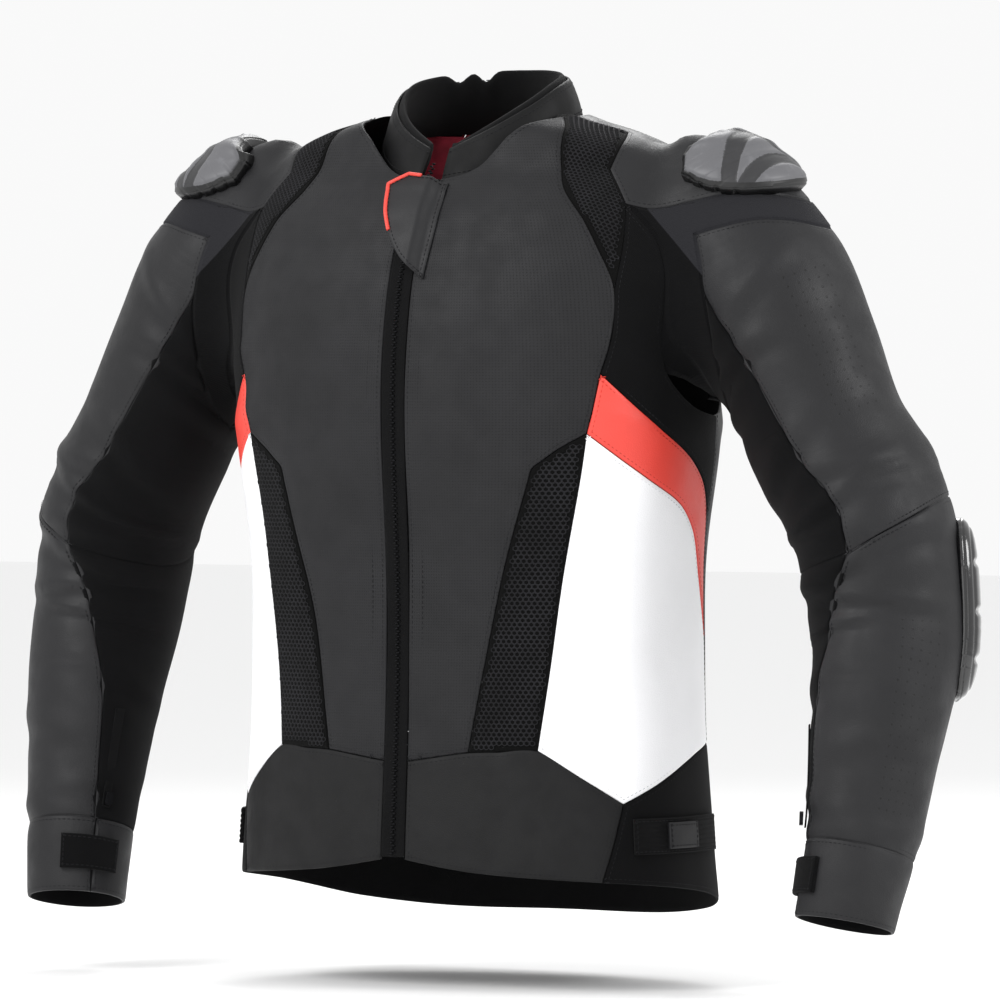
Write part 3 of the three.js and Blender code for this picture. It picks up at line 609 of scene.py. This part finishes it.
def cloth(name, rgb, pitch, ribs=0.0, roughness=0.9, sheen=0.02):
    """Woven or ribbed fabric."""
    m = Nodes(name, roughness, specular=0.14, sheen=sheen)
    u, v = m.pattern()
    turn = 2 * math.pi / pitch
    across, along = (m.math("SINE", m.math("MULTIPLY", at, turn)) for at in (u, v))
    weave = m.math("MULTIPLY", across, along)
    m.bump(weave, 0.00025, 0.6)
    if ribs:
        m.bump(m.math("SINE", m.math("MULTIPLY", v, 2 * math.pi / ribs)), 0.0006, 0.8)
    m.bump(m.noise(40.0, 4.0), 0.001, 0.4)
    m.colour(m.mix(m.spread(m.noise(30.0, 5.0), 0.3, 0.7), shade(rgb, 0.82), shade(rgb, 1.2)))
    return m.material


def hard(name, rgb, roughness, metallic=0.0, coat=0.0):
    """Moulded plastic or plated metal, with a fine moulding texture and scuffs."""
    m = Nodes(name, roughness, metallic, coat=coat)
    scuff = m.spread(m.noise(90.0, 5.0), 0.55, 0.8)
    m.colour(m.mix(scuff, shade(rgb, 1.0), shade(rgb, 1.15)))
    m.rough(m.spread(m.noise(60.0, 4.0), 0.3, 0.8, roughness, roughness + 0.1))
    m.bump(m.noise(700.0, 2.0), 0.0001, 0.3)
    return m.material


# colours are red, green and blue from 0 to 255
DARK = (23, 23, 25)
HEM_DARK = (14, 14, 15)
COLLAR_DARK = (9, 9, 10)
# where the sleeves are perforated: round and along the arm, from and to, in metres
SLEEVE_VENTS = ((0.018, 0.165), (0.058, 0.300))
FOREARM_VENTS = ((0.012, 0.455), (0.062, 0.625))
LEATHER = leather("leather", DARK, 0.55, specular=0.32)
COLLAR_LEATHER = leather("collar_leather", COLLAR_DARK, 0.6, specular=0.2)
HEM_LEATHER = leather("hem_leather", HEM_DARK, 0.6, specular=0.25)
PERFORATED = leather("perforated_leather", (27, 27, 29), 0.6, holes=0.0024, specular=0.25)
VENTS = dict(holes=0.0085, specular=0.32, hole=(0.08, 0.12))
VENTED = leather("vented_leather", DARK, 0.55, patch=SLEEVE_VENTS, **VENTS)
VENTED_LOW = leather("vented_forearm", DARK, 0.55, patch=FOREARM_VENTS, **VENTS)
WHITE = leather("white_leather", (246, 246, 248), 0.38, blotch=0.008)
RED = leather("red_leather", (222, 66, 54), 0.45, blotch=0.02)
STRETCH = cloth("stretch", (4, 4, 5), 0.0012)
RIBBED = cloth("ribbed_elastic", (9, 9, 10), 0.0012, ribs=0.004)
# the sheet under the open net is nearly black: partly the real inner layer, partly painted shade in the net's
# openings
NET_BACKING_PAINTED_SHADE = cloth("net_backing_painted_shade", (1, 1, 1), 0.001)
NET = cloth("net", (24, 24, 26), 0.0009, roughness=0.75)
LINING = cloth("lining", (176, 52, 70), 0.0014, roughness=0.75, sheen=0.2)
INSIDE = cloth("inside", (8, 8, 9), 0.0014)
SOFT = cloth("soft_collar", (8, 8, 9), 0.0009, roughness=0.95, sheen=0.05)
TAPE = cloth("zip_tape", (6, 6, 7), 0.0008)
THREAD = cloth("thread", (22, 22, 24), 0.0004, roughness=0.7)
RED_THREAD = cloth("red_thread", (170, 46, 38), 0.0004, roughness=0.7)
WHITE_THREAD = cloth("white_thread", (215, 215, 218), 0.0004, roughness=0.7)
PLATE = hard("slider_plate", (88, 88, 91), 0.45)
BAND = hard("slider_band", (36, 36, 38), 0.5)
RIM = hard("slider_rim", (6, 6, 7), 0.4)
GLOSS = hard("gloss_slider", (9, 9, 11), 0.14, coat=0.6)
METAL = hard("zip_metal", (26, 26, 28), 0.4, metallic=0.9)
FOAM = cloth("armour_foam", (44, 44, 48), 0.004, roughness=0.9)
PIPING = leather("red_piping", (216, 62, 50), 0.4, blotch=0.02)


def half_and_half(name, one, two, point, direction):
    """One cloth or leather before a straight line, another after it, the same on both sides of the body."""
    m = one.copy()
    m.name = name
    tree = m.node_tree
    place = tree.nodes.new("ShaderNodeTexCoord")
    parts = tree.nodes.new("ShaderNodeSeparateXYZ")
    tree.links.new(place.outputs["Object"], parts.inputs[0])
    mirror_x = tree.nodes.new("ShaderNodeMath")
    mirror_x.operation = "ABSOLUTE"
    tree.links.new(parts.outputs[0], mirror_x.inputs[0])
    total = None
    for k, socket in enumerate((mirror_x.outputs[0], parts.outputs[1], parts.outputs[2])):
        scaled = tree.nodes.new("ShaderNodeMath")
        scaled.operation = "MULTIPLY_ADD"
        tree.links.new(socket, scaled.inputs[0])
        scaled.inputs[1].default_value = direction[k]
        if total is None:
            scaled.inputs[2].default_value = -sum(a * b for a, b in zip(point, direction))
        else:
            tree.links.new(total, scaled.inputs[2])
        total = scaled.outputs[0]
    step = tree.nodes.new("ShaderNodeMapRange")
    tree.links.new(total, step.inputs[0])
    for socket, value in zip(step.inputs[1:5], (-0.0004, 0.0004, 0.0, 1.0)):
        socket.default_value = value
    mixer = tree.nodes.new("ShaderNodeMix")
    mixer.data_type = "RGBA"
    shader = tree.nodes["Principled BSDF"]
    base = shader.inputs["Base Color"].links[0].from_socket
    tree.links.new(step.outputs[0], mixer.inputs[0])
    tree.links.new(base, mixer.inputs[6])
    mixer.inputs[7].default_value = two
    tree.links.new(mixer.outputs[2], shader.inputs["Base Color"])
    return m


def tube_faces(grid):
    """The side quads and the two end caps of a tube whose rings are the grid's rows."""
    turned = np.roll(grid, -1, 1)
    quads = np.stack((grid[:-1], turned[:-1], turned[1:], grid[1:]), 2).reshape(-1, 4)
    return quads, [grid[:1, ::-1], grid[-1:]]


# ---------------------------------------------------------------- relief
def ridge(value, centre, width):
    return np.exp(-((value - centre) / width)**2)


def sleeve_folds(points, uv):
    """Soft folds of the sleeve: in front of the elbow, behind it, and under the armpit."""
    along = uv[:, 1] / MM
    angle = np.degrees(uv[:, 0] / MM / SLEEVE_RADIUS)
    result = np.zeros(len(points))
    for start, middle, spread, slant, height, width in FOLDS:
        turn = (angle - middle + 180) % 360 - 180
        line = start + slant * np.sin(np.radians(turn)) * SLEEVE_RADIUS
        wave = ridge(along, line, width) - 0.8 * ridge(along, line + 1.7 * width, width)
        result += height * wave * ridge(turn, 0, spread)
    result += 0.9 * np.sin(along / 23 + 2 * np.sin(np.radians(angle))) * np.cos(np.radians(angle * 2 + 30))
    return result


# distance down the sleeve, the side it is on and its spread in degrees, slant, then height and width
FOLDS = (
    (352, 95, 60, 0.25, 2.8, 8), (378, 80, 70, -0.1, 3.0, 10), (404, 95, 65, 0.3, 2.8, 9),
    (432, 85, 55, -0.25, 2.6, 8), (460, 100, 40, 0.2, 2.0, 9), (330, 60, 50, -0.35, 2.6, 9),
    (300, 110, 45, 0.4, 2.2, 10),
    (226, 150, 55, 0.3, 3.2, 9), (196, 130, 50, -0.3, 2.6, 9), (258, 165, 45, 0.25, 2.4, 9),
    (170, 80, 40, 0.5, 2.0, 10),
    (560, 60, 60, 0.2, 1.6, 11), (610, 140, 60, -0.2, 1.8, 10), (520, 150, 50, 0.3, 1.6, 10),
    (390, 250, 45, 0.2, 2.0, 8), (350, 300, 50, -0.3, 1.8, 10), (632, 40, 90, 0.1, 1.4, 8),
)


def torso_folds(points, uv):
    """The slight waves of the body: soft pulls towards the armholes and the waist."""
    x, z = np.abs(points[:, 0]), points[:, 2]
    wave = 1.1 * np.sin(z / 31 + x / 26) * ridge(z, 300, 170)
    wave += 1.6 * ridge(z + 0.5 * x, 560, 11) * ridge(x, 170, 40)
    wave += 1.4 * ridge(z + 0.35 * x, 480, 10) * ridge(x, 175, 38)
    wave -= 1.2 * ridge(z + 0.45 * x, 520, 12) * ridge(x, 175, 40)
    return wave


def pillow(height, width):
    return lambda away: height * (1 - np.exp(-away / width)) - height * 0.5


# ---------------------------------------------------------------- bodies
def row(x, y, z):
    return tuple((np.array((x, y, z)) - HANG) * MM)


ELBOW_SEAM = np.array((356.0, 18.0, 316.0))
ELBOW_DOWN = np.array((0.443, 0.203, -0.873))
SHOULDER_START = (222.0, 15.0, 500.0)
SHOULDER_END = (300.0, 15.0, 462.0)


def on_body(piece, part, side):
    """Each part rides on its body; the sleeve pieces are not attached, only baked where they stand."""
    sign = 1 if side == "left" else -1
    if part == "upper_sleeve":
        start, end = SHOULDER_START, SHOULDER_END
    elif part == "forearm":
        start, end = ELBOW_SEAM + ELBOW_DOWN * 6, ELBOW_SEAM + ELBOW_DOWN * 86
    else:
        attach(piece, part)
        return
    start, end = (row(sign * p[0], p[1], p[2]) for p in (start, end))
    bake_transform(piece)


def put(name, data, materials, node=None, part="jacket", side=""):
    points, faces, uv, index = data
    piece = make_object(name, points, faces, uv, materials, index)
    on_body(piece, part, side)
    if node is not None:
        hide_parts(node)
    return piece


def put_pair(stem, data, materials, part="jacket", node=True, suffix=""):
    """The left piece, and its mirror image on the right."""
    points, faces, uv, index = data
    for side in ("left", "right"):
        if side == "right":
            points, faces = mirror(points, faces)
        body = part if part in ("jacket", "upper_sleeve", "forearm") else f"{part}_{side}"
        put(f"{stem}{suffix}_{side}_skin", (points, faces, uv, index), materials,
            f"{stem}_{side}" if node else None, body, side)


# ---------------------------------------------------------------- body panels
TORSO_PAIRS = {
    "front_panel": dict(materials=(PERFORATED, THREAD, LINING, INSIDE), front_row=True),
    "chest_stretch": dict(materials=(STRETCH, THREAD, LINING, INSIDE)),
    "red_panel": dict(materials=(RED, RED_THREAD, LINING, INSIDE)),
    "white_panel": dict(materials=(WHITE, WHITE_THREAD, LINING, INSIDE)),
    "hem_band": dict(materials=(HEM_LEATHER, THREAD, LINING, INSIDE), rows=(3.4, 7.0)),
    "yoke": dict(materials=(LEATHER, THREAD, LINING, INSIDE), rows=(3.4,)),
    "back_side": dict(materials=(LEATHER, THREAD, LINING, INSIDE), rows=(3.4,)),
    "shoulder_mesh": dict(materials=(NET_BACKING_PAINTED_SHADE, THREAD, LINING, INSIDE), rows=(), flange=6),
    "side_mesh": dict(materials=(NET_BACKING_PAINTED_SHADE, THREAD, LINING, INSIDE), rows=()),
}
skins = {}
for stem, words in TORSO_PAIRS.items():
    words = dict(words)
    materials = words.pop("materials")
    skins[stem] = skin(f"{stem}_left", relief=torso_folds, profile=pillow(0.8, 7), lined=True, **words)
    put_pair(stem, skins[stem], materials)
for node in ("back_panel", "back_hem"):
    data = skin(node, relief=torso_folds, profile=pillow(0.8, 7), lined=True)
    put(f"{node}_skin", data, (LEATHER if node == "back_panel" else STRETCH, THREAD, LINING, INSIDE), node)

# where the leather of the shoulder ends and the stretch of the armhole starts
SHOULDER_LINE = row(228, -60, 552)
SHOULDER_ACROSS = (0.70, 0.25, 0.67)
# the leather half takes the leather's colour made 1.5 times lighter: painted sheen, standing in for the
# leather's shine, which this cloth shader lacks
GUSSET = half_and_half("gusset", STRETCH, shade(DARK, 1.5), SHOULDER_LINE, SHOULDER_ACROSS)
gusset = skin("armhole_gusset_left", relief=torso_folds, rows=(), flange=28, lined=True, edge=0.8)
put_pair("armhole_gusset", gusset, (GUSSET, THREAD, LINING, INSIDE), "upper_sleeve")

SLEEVE_FLANGE = 3.5
SLEEVE_PAIRS = {
    "upper_sleeve_leather": (VENTED, "upper_sleeve"),
    "upper_sleeve_stretch": (GUSSET, "upper_sleeve"),
    "forearm_leather": (VENTED_LOW, "forearm"),
    "forearm_stretch": (STRETCH, "forearm"),
    "cuff": (LEATHER, "forearm"),
}
for stem, (material, part) in SLEEVE_PAIRS.items():
    data = skin(f"{stem}_left", arm=True, relief=sleeve_folds, profile=pillow(0.8, 7), lined=True,
                flange=0 if stem == "cuff" else SLEEVE_FLANGE,
                rows=() if material in (STRETCH, GUSSET) else (3.4,))
    put_pair(stem, data, (material, THREAD, INSIDE, INSIDE), part)

# ---------------------------------------------------------------- straps, tabs and zips
strap = skin("waist_strap_left", lift=3.6, depth=3.4, rows=(2.4,), edge=0.6, levels=4)
put_pair("waist_strap", strap, (RIBBED, THREAD))
waist_tab = skin("waist_tab_left", lift=7.4, depth=3.5, rows=(2.4,), edge=0.8, levels=4)
put_pair("waist_tab", waist_tab, (LEATHER, THREAD), "waist_tab")
cuff_tab = skin("cuff_tab_left", lift=4.6, depth=4.0, arm=True, rows=(2.6,), edge=0.8)
put_pair("cuff_tab", cuff_tab, (STRETCH, THREAD), "cuff_tab")
cuff_zip = skin("cuff_zip_left", lift=1.8, thickness=1.3, arm=True, rows=(), edge=0.5)
put_pair("cuff_zip", cuff_zip, (TAPE,), "forearm")
main_zip = skin("main_zip", lift=-0.6, thickness=1.2, rows=(), edge=0.4)
put("main_zip_skin", main_zip, (TAPE,), "main_zip")
FLAP_LIFT = 11.4
FLAP_REST = 3.2


def flap_lies_down(points, uv):
    """The flap stands over the zip slider and comes down to the chest at its hinge."""
    t = np.clip((points[:, 0] - 9) / 10, 0, 1)
    return -(FLAP_LIFT - FLAP_REST) * t * t * (3 - 2 * t)


flap = skin("storm_flap", lift=FLAP_LIFT, thickness=2, rows=(3.0,), edge=0.9, levels=4, relief=flap_lies_down)
put("storm_flap_skin", flap, (LEATHER, THREAD), "storm_flap", "storm_flap")


PIPING_SIDES = 8


def piping(name, path, radius, material, body):
    """A round cord of leather sewn along a path."""
    ahead = unit(np.gradient(path, axis=0))
    aside = unit(np.cross(ahead, garment_normal(path)))
    up = np.cross(aside, ahead)
    turns = np.radians(np.arange(0, 360, 360 / PIPING_SIDES))
    rings = path[:, None] + radius * (aside[:, None] * np.cos(turns)[None, :, None]
                                      + up[:, None] * np.sin(turns)[None, :, None])
    grid = np.arange(len(path) * PIPING_SIDES).reshape(len(path), PIPING_SIDES)
    quads, caps = tube_faces(grid)
    points = rings.reshape(-1, 3)
    piece = make_object(name, points, [quads, *caps], np.zeros((len(points), 2)), (material,))
    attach(piece, body)
    return piece


def edge_of(data, chosen, lift):
    """The chosen stretch of a skin's own border, in order from the top down."""
    points, faces, _, _ = data
    loop = max(loops_of(border_edges(faces[0])), key=len)
    line = points[loop]
    keep = chosen(line)
    start = int(np.argmax(keep & ~np.roll(keep, 1)))
    line, keep = np.roll(line, -start, 0), np.roll(keep, -start)
    line = line[:int(np.argmin(keep))] if not keep.all() else line
    line = line if line[0][2] > line[-1][2] else line[::-1]
    return line + garment_normal(line) * lift


chevron = edge_of(flap, lambda p: (p[:, 0] < 2) & (p[:, 2] < 622) & (p[:, 2] > 572), 0.4)
piping("flap_chevron", chevron, 1.7, PIPING, "storm_flap")


def front_line(heights):
    """The garment's middle front at those heights."""
    inside, outside = np.full(len(heights), 0.0), np.full(len(heights), -230.0)
    for _ in range(30):
        middle = (inside + outside) / 2
        out = garment_distance(np.stack((0 * middle, middle, heights), 1)) > 0
        outside = np.where(out, middle, outside)
        inside = np.where(out, inside, middle)
    return np.stack((0 * inside, inside, heights), 1)


TOOTH_PITCH = 2.2
TOOTH_WIDTH = 3.0
TOOTH_HEIGHT = 1.5
TOOTH_ASIDE = 0.9


def zip_teeth(name, path, out, body):
    """Teeth along a path, leaning left and right in turn."""
    run = np.concatenate(([0.0], np.cumsum(np.linalg.norm(np.diff(path, axis=0), axis=1))))
    at = np.arange(0, run[-1], TOOTH_PITCH)
    where = np.stack([np.interp(at, run, path[:, k]) for k in range(3)], 1)
    up = unit(np.stack([np.interp(at, run, out[:, k]) for k in range(3)], 1))
    ahead = unit(np.gradient(where, axis=0))
    across = unit(np.cross(ahead, up))
    where = where + across * (np.where(np.arange(len(at)) % 2, TOOTH_ASIDE, -TOOTH_ASIDE))[:, None]
    points, faces = tube_bits(where, across, up, TOOTH_WIDTH, TOOTH_HEIGHT, TOOTH_HEIGHT)
    piece = make_object(name, points, [faces], np.zeros((len(points), 2)), (METAL,))
    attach(piece, body)


ZIP_BOTTOM, ZIP_TOP = 60, 628
TEETH_SINK = 0.4
teeth_line = front_line(np.linspace(ZIP_BOTTOM, ZIP_TOP, 200))
zip_teeth("main_zip_teeth", teeth_line + (0, TEETH_SINK, 0), garment_normal(teeth_line), "jacket")

# ---------------------------------------------------------------- sliders
SLIDER_RISE = 16.4
SLIDER_RIM = 4.0
RIM_NUMBER = 4


def slider_plates(rest, away, tris):
    """Grey plates and darker bands inside a black rim: a material for each face, and relief."""
    low, high = rest.min(0), rest.max(0)
    across = (rest[:, 0] - low[0]) / (high[0] - low[0]) * 2 - 1
    deep = (rest[:, 1] - low[1]) / (high[1] - low[1]) * 2 - 1
    bands = np.abs(across + 0.12 - 0.3 * deep**2) - 0.13
    bands = np.minimum(bands, np.abs(across - 0.55 - 0.2 * deep) - 0.09)
    bands = np.minimum(bands, np.abs(deep - 0.5 * across - 0.15) - 0.06)
    plate = np.clip(bands / 0.08, 0, 1) * np.clip((away - SLIDER_RIM) / 1.5, 0, 1)
    rim = away[tris].mean(1) < SLIDER_RIM
    band = bands[tris].mean(1) < 0.03
    relief = 1.3 * plate - 0.6 * np.clip((SLIDER_RIM - away) / 3, 0, 1)
    return np.where(rim, RIM_NUMBER, np.where(band, 1, 0)), relief


slider = skin("shoulder_slider_left", lift=SLIDER_RISE, depth=SLIDER_RISE + 1.5, rows=(), edge=1.5, levels=5,
              profile=lambda away: -7.0 * np.exp(-away / 9.0), paint=slider_plates, side=RIM_NUMBER)
put_pair("shoulder_slider", slider, (PLATE, BAND, BAND, BAND, RIM))


def elbow_grooves(rest, away, tris):
    """Three cooling slots across the elbow slider, and a raised rim."""
    up = rest[:, 2]
    slots = sum(ridge(up, level, 3.0) for level in np.linspace(up.min() + 38, up.max() - 38, 3))
    inner = np.clip((away - 9) / 3, 0, 1)
    return np.zeros(len(tris), int), -2.2 * slots * inner - 1.0 * ridge(away, 8, 1.6)


elbow = skin("elbow_slider_left", lift=13.6, depth=15.5, arm=True, rows=(), edge=1.5, levels=5,
             profile=lambda away: -9.0 * np.exp(-away / 7.0), paint=elbow_grooves)
put_pair("elbow_slider", elbow, (GLOSS, THREAD), "forearm")


# ---------------------------------------------------------------- open net
def open_net(stem, pitch, flat):
    """Hexagonal openings over the whole of a net panel, as real strands."""
    points, faces, _, _ = skins[stem]
    tris = faces[0]
    count = tris.max() + 1
    spread = flat(points[:count])
    tree = BVHTree.FromPolygons([(u, v, 0.0) for u, v in spread.tolist()], tris.tolist())
    low, high = spread.min(0), spread.max(0)
    cells = []
    for r, v in enumerate(np.arange(low[1], high[1], pitch * math.sqrt(3) / 2)):
        for u in np.arange(low[0] + (r % 2) * pitch / 2, high[0], pitch):
            cells.append((u, v))
    corners = [(math.sin(math.radians(60 * k)), math.cos(math.radians(60 * k))) for k in range(6)]
    strands, quads = [], []
    for u, v in cells:
        ring = []
        for size in (pitch / math.sqrt(3), pitch / math.sqrt(3) * 0.66):
            for cu, cv in corners:
                hit, _, face, _ = tree.ray_cast(Vector((u + cu * size, v + cv * size, 1)), Vector((0, 0, -1)))
                if hit is None:
                    break
                a, b, c = tris[face]
                m = np.array([[*spread[a], 1], [*spread[b], 1], [*spread[c], 1]]).T
                w = np.linalg.solve(m, np.array([hit[0], hit[1], 1.0]))
                ring.append(w @ points[[a, b, c]])
        if len(ring) < 12:
            continue
        ring = np.array(ring)
        n = unit(np.cross(ring[2] - ring[0], ring[4] - ring[0]))
        if n @ (ring[0] - (0, 0, ring[0][2])) < 0:
            n = -n
        base = len(strands) * 18
        strands.append(np.vstack((ring[:6] + n * 0.55, ring[6:] + n * 0.25, ring[6:] - n * 0.7)))
        for k in range(6):
            j = (k + 1) % 6
            quads += [(base + k, base + j, base + 6 + j, base + 6 + k),
                      (base + 6 + k, base + 6 + j, base + 12 + j, base + 12 + k)]
    strands = np.vstack(strands)
    put_pair(stem, (strands, [np.array(quads)], np.zeros((len(strands), 2)), None), (NET,), node=False,
             suffix="_strands")


NET_PITCH = 4.0
SHOULDER_TILT = 0.75
open_net("shoulder_mesh", NET_PITCH, lambda p: np.stack((p[:, 0], p[:, 2] + SHOULDER_TILT * p[:, 1]), 1))
open_net("side_mesh", NET_PITCH,
         lambda p: np.stack((np.arctan2(p[:, 0], -p[:, 1]) * TORSO_RADIUS, p[:, 2]), 1))

# ---------------------------------------------------------------- collar
def collar_point(angle, rise):
    a = np.radians(angle)
    fold = np.abs((angle + 180) % 360 - 180)
    width = COLLAR_BASE[0] + (COLLAR_TOP[0] - COLLAR_BASE[0]) * rise
    depth = COLLAR_BASE[1] + (COLLAR_TOP[1] - COLLAR_BASE[1]) * rise
    low, high = look_up(COLLAR, fold, 1), look_up(COLLAR, fold, 2)
    return np.stack((width * np.sin(a), COLLAR_Y - depth * np.cos(a), low + (high - low) * rise), -1)


def collar_band(name, section, gap, materials, node, stitch_rises=()):
    """A closed band round the neck. section is a list of (rise, distance outwards)."""
    angles = np.linspace(gap, 360 - gap, 121)
    rings = []
    for rise, lift in section:
        p = collar_point(angles, np.full(len(angles), rise))
        n = unit(np.stack((p[:, 0] / COLLAR_BASE[0], (p[:, 1] - COLLAR_Y) / COLLAR_BASE[1],
                           np.full(len(p), 0.25)), 1))
        soft = np.minimum(1, np.minimum(angles - gap, 360 - gap - angles) / 3 + 0.35)
        dip = 9.0 * ridge(angles, 206, 6) + 8.0 * ridge(angles, 226, 7)
        p[:, 2] -= dip * np.clip((rise - 0.5) / 0.5, 0, 1)
        rings.append(p + n * (lift * soft)[:, None])
    points = np.stack(rings, 1)
    across, around = len(section), len(angles)
    grid = np.arange(around * across).reshape(around, across)
    quads, caps = tube_faces(grid)
    uv = np.stack((np.repeat(angles, across) * 1.4, np.tile([s[0] * 34 for s in section], around)), 1) * MM
    blocks, index, total = [quads, *caps], np.zeros(len(quads) + 2, int), around * across
    all_points, all_uv = [points.reshape(-1, 3)], [uv]
    for rise in stitch_rises:
        line = collar_point(angles, np.full(len(angles), rise))
        n = unit(line - (0, COLLAR_Y, 0) - line * (0, 0, 1))
        block = stitches(line + n * 0.9, n * 0, n, 0, False)
        all_points.append(block[0])
        all_uv.append(np.zeros((len(block[0]), 2)))
        blocks.append(block[1] + total)
        index = np.concatenate((index, np.ones(len(block[1]), int)))
        total += len(block[0])
    piece = put(name, (np.vstack(all_points), blocks, np.vstack(all_uv), index), materials, node)
    return piece


COLLAR_GAP = 7
# how far up the band, and how far out of it, round each section
COLLAR_SECTION = (
    (-0.12, -0.5), (0.12, 0.6), (0.3, 1.2), (0.5, 1.5), (0.7, 1.4), (0.88, 0.9),
    (0.97, 0.1), (1.0, -1.2), (0.97, -2.3), (0.7, -2.6), (0.3, -2.6), (-0.12, -2.4),
)
LINER_SECTION = (
    (-0.45, -3.4), (0.4, -3.2), (0.7, -3.1), (0.95, -3.0), (1.06, -3.2), (1.12, -4.2),
    (1.14, -5.8), (1.1, -7.6), (0.98, -9.0), (0.7, -9.8), (0.4, -9.4), (-0.45, -6.0),
)
collar_band("collar_skin", COLLAR_SECTION, COLLAR_GAP, (COLLAR_LEATHER, THREAD), "collar", (0.16, 0.86))
collar_band("collar_liner_skin", LINER_SECTION, COLLAR_GAP + 1, (SOFT, THREAD), "collar_liner")

lining = skin("neck_lining", lift=-7, thickness=1.5, rows=(), edge=0.4)
lining_piece = put("neck_lining_skin", lining, (LINING, THREAD, LINING), "neck_lining")

# ---------------------------------------------------------------- what keeps its CAD shape
KEPT_SHAPES = (
    ("armour", FOAM), ("protector", FOAM), ("zip_slider", METAL), ("zip_puller", METAL),
    ("trouser_zip", TAPE), ("hang_loop", TAPE),
)
for node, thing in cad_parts.items():
    for stem, material in KEPT_SHAPES:
        if stem in node and not thing.hide_render:
            thing.data.materials.clear()
            thing.data.materials.append(material)

# ---------------------------------------------------------------- floor, light and camera
AZIMUTH, ELEVATION = math.radians(30), math.radians(1)
DISTANCE = 8.0
VIEW_WIDTH = 0.84
LOOK_ACROSS, LOOK_UP = -0.0195, -0.315
SENSOR = 36.0

right = Vector((math.cos(AZIMUTH), math.sin(AZIMUTH), 0))
back = Vector((math.sin(AZIMUTH) * math.cos(ELEVATION), -math.cos(AZIMUTH) * math.cos(ELEVATION),
               math.sin(ELEVATION)))
aim = right * LOOK_ACROSS + Vector((0, 0, LOOK_UP))
lens = bpy.data.cameras.new("camera")
lens.sensor_width = SENSOR
lens.lens = SENSOR * DISTANCE / VIEW_WIDTH
lens.clip_end = 100
camera = bpy.data.objects.new("camera", lens)
camera.location = aim + back * DISTANCE
camera.rotation_euler = back.to_track_quat("Z", "Y").to_euler()
bpy.context.scene.collection.objects.link(camera)
bpy.context.scene.camera = camera


def light(name, azimuth, elevation, distance, size, watts):
    a, e = math.radians(azimuth), math.radians(elevation)
    away = Vector((math.sin(a) * math.cos(e), -math.cos(a) * math.cos(e), math.sin(e)))
    lamp = bpy.data.lights.new(name, "AREA")
    lamp.shape = "DISK"
    lamp.size = size
    lamp.energy = watts
    thing = bpy.data.objects.new(name, lamp)
    thing.location = aim + away * distance
    thing.rotation_euler = away.to_track_quat("Z", "Y").to_euler()
    bpy.context.scene.collection.objects.link(thing)


light("key_light", -20, 35, 2.6, 1.2, 34)
light("side_light", 95, 25, 2.6, 1.0, 26)
light("fill_light", 20, 5, 3.2, 2.0, 10)
light("rim_light", 205, 40, 2.6, 1.2, 24)

world = bpy.data.worlds.new("studio")
world.use_nodes = True
world.node_tree.nodes["Background"].inputs["Color"].default_value = (1, 1, 1, 1)
world.node_tree.nodes["Background"].inputs["Strength"].default_value = 0.95
bpy.context.scene.world = world
bpy.context.scene.view_settings.view_transform = "Standard"

floor_data = bpy.data.meshes.new("floor")
FLOOR_DROP, FLOOR_HALF = 0.05, 12.0
FLOOR_Z = cad_box[0][2] - FLOOR_DROP
FLOOR_CORNERS = [(x * FLOOR_HALF, y * FLOOR_HALF, FLOOR_Z) for x, y in ((-1, -1), (1, -1), (1, 1), (-1, 1))]
floor_data.from_pydata(FLOOR_CORNERS, [], [(0, 1, 2, 3)])
floor = bpy.data.objects.new("floor", floor_data)
ground = Nodes("floor", 0.9, specular=0.1)
ground.colour((0.92, 0.92, 0.92, 1))
floor_data.materials.append(ground.material)
bpy.context.scene.collection.objects.link(floor)
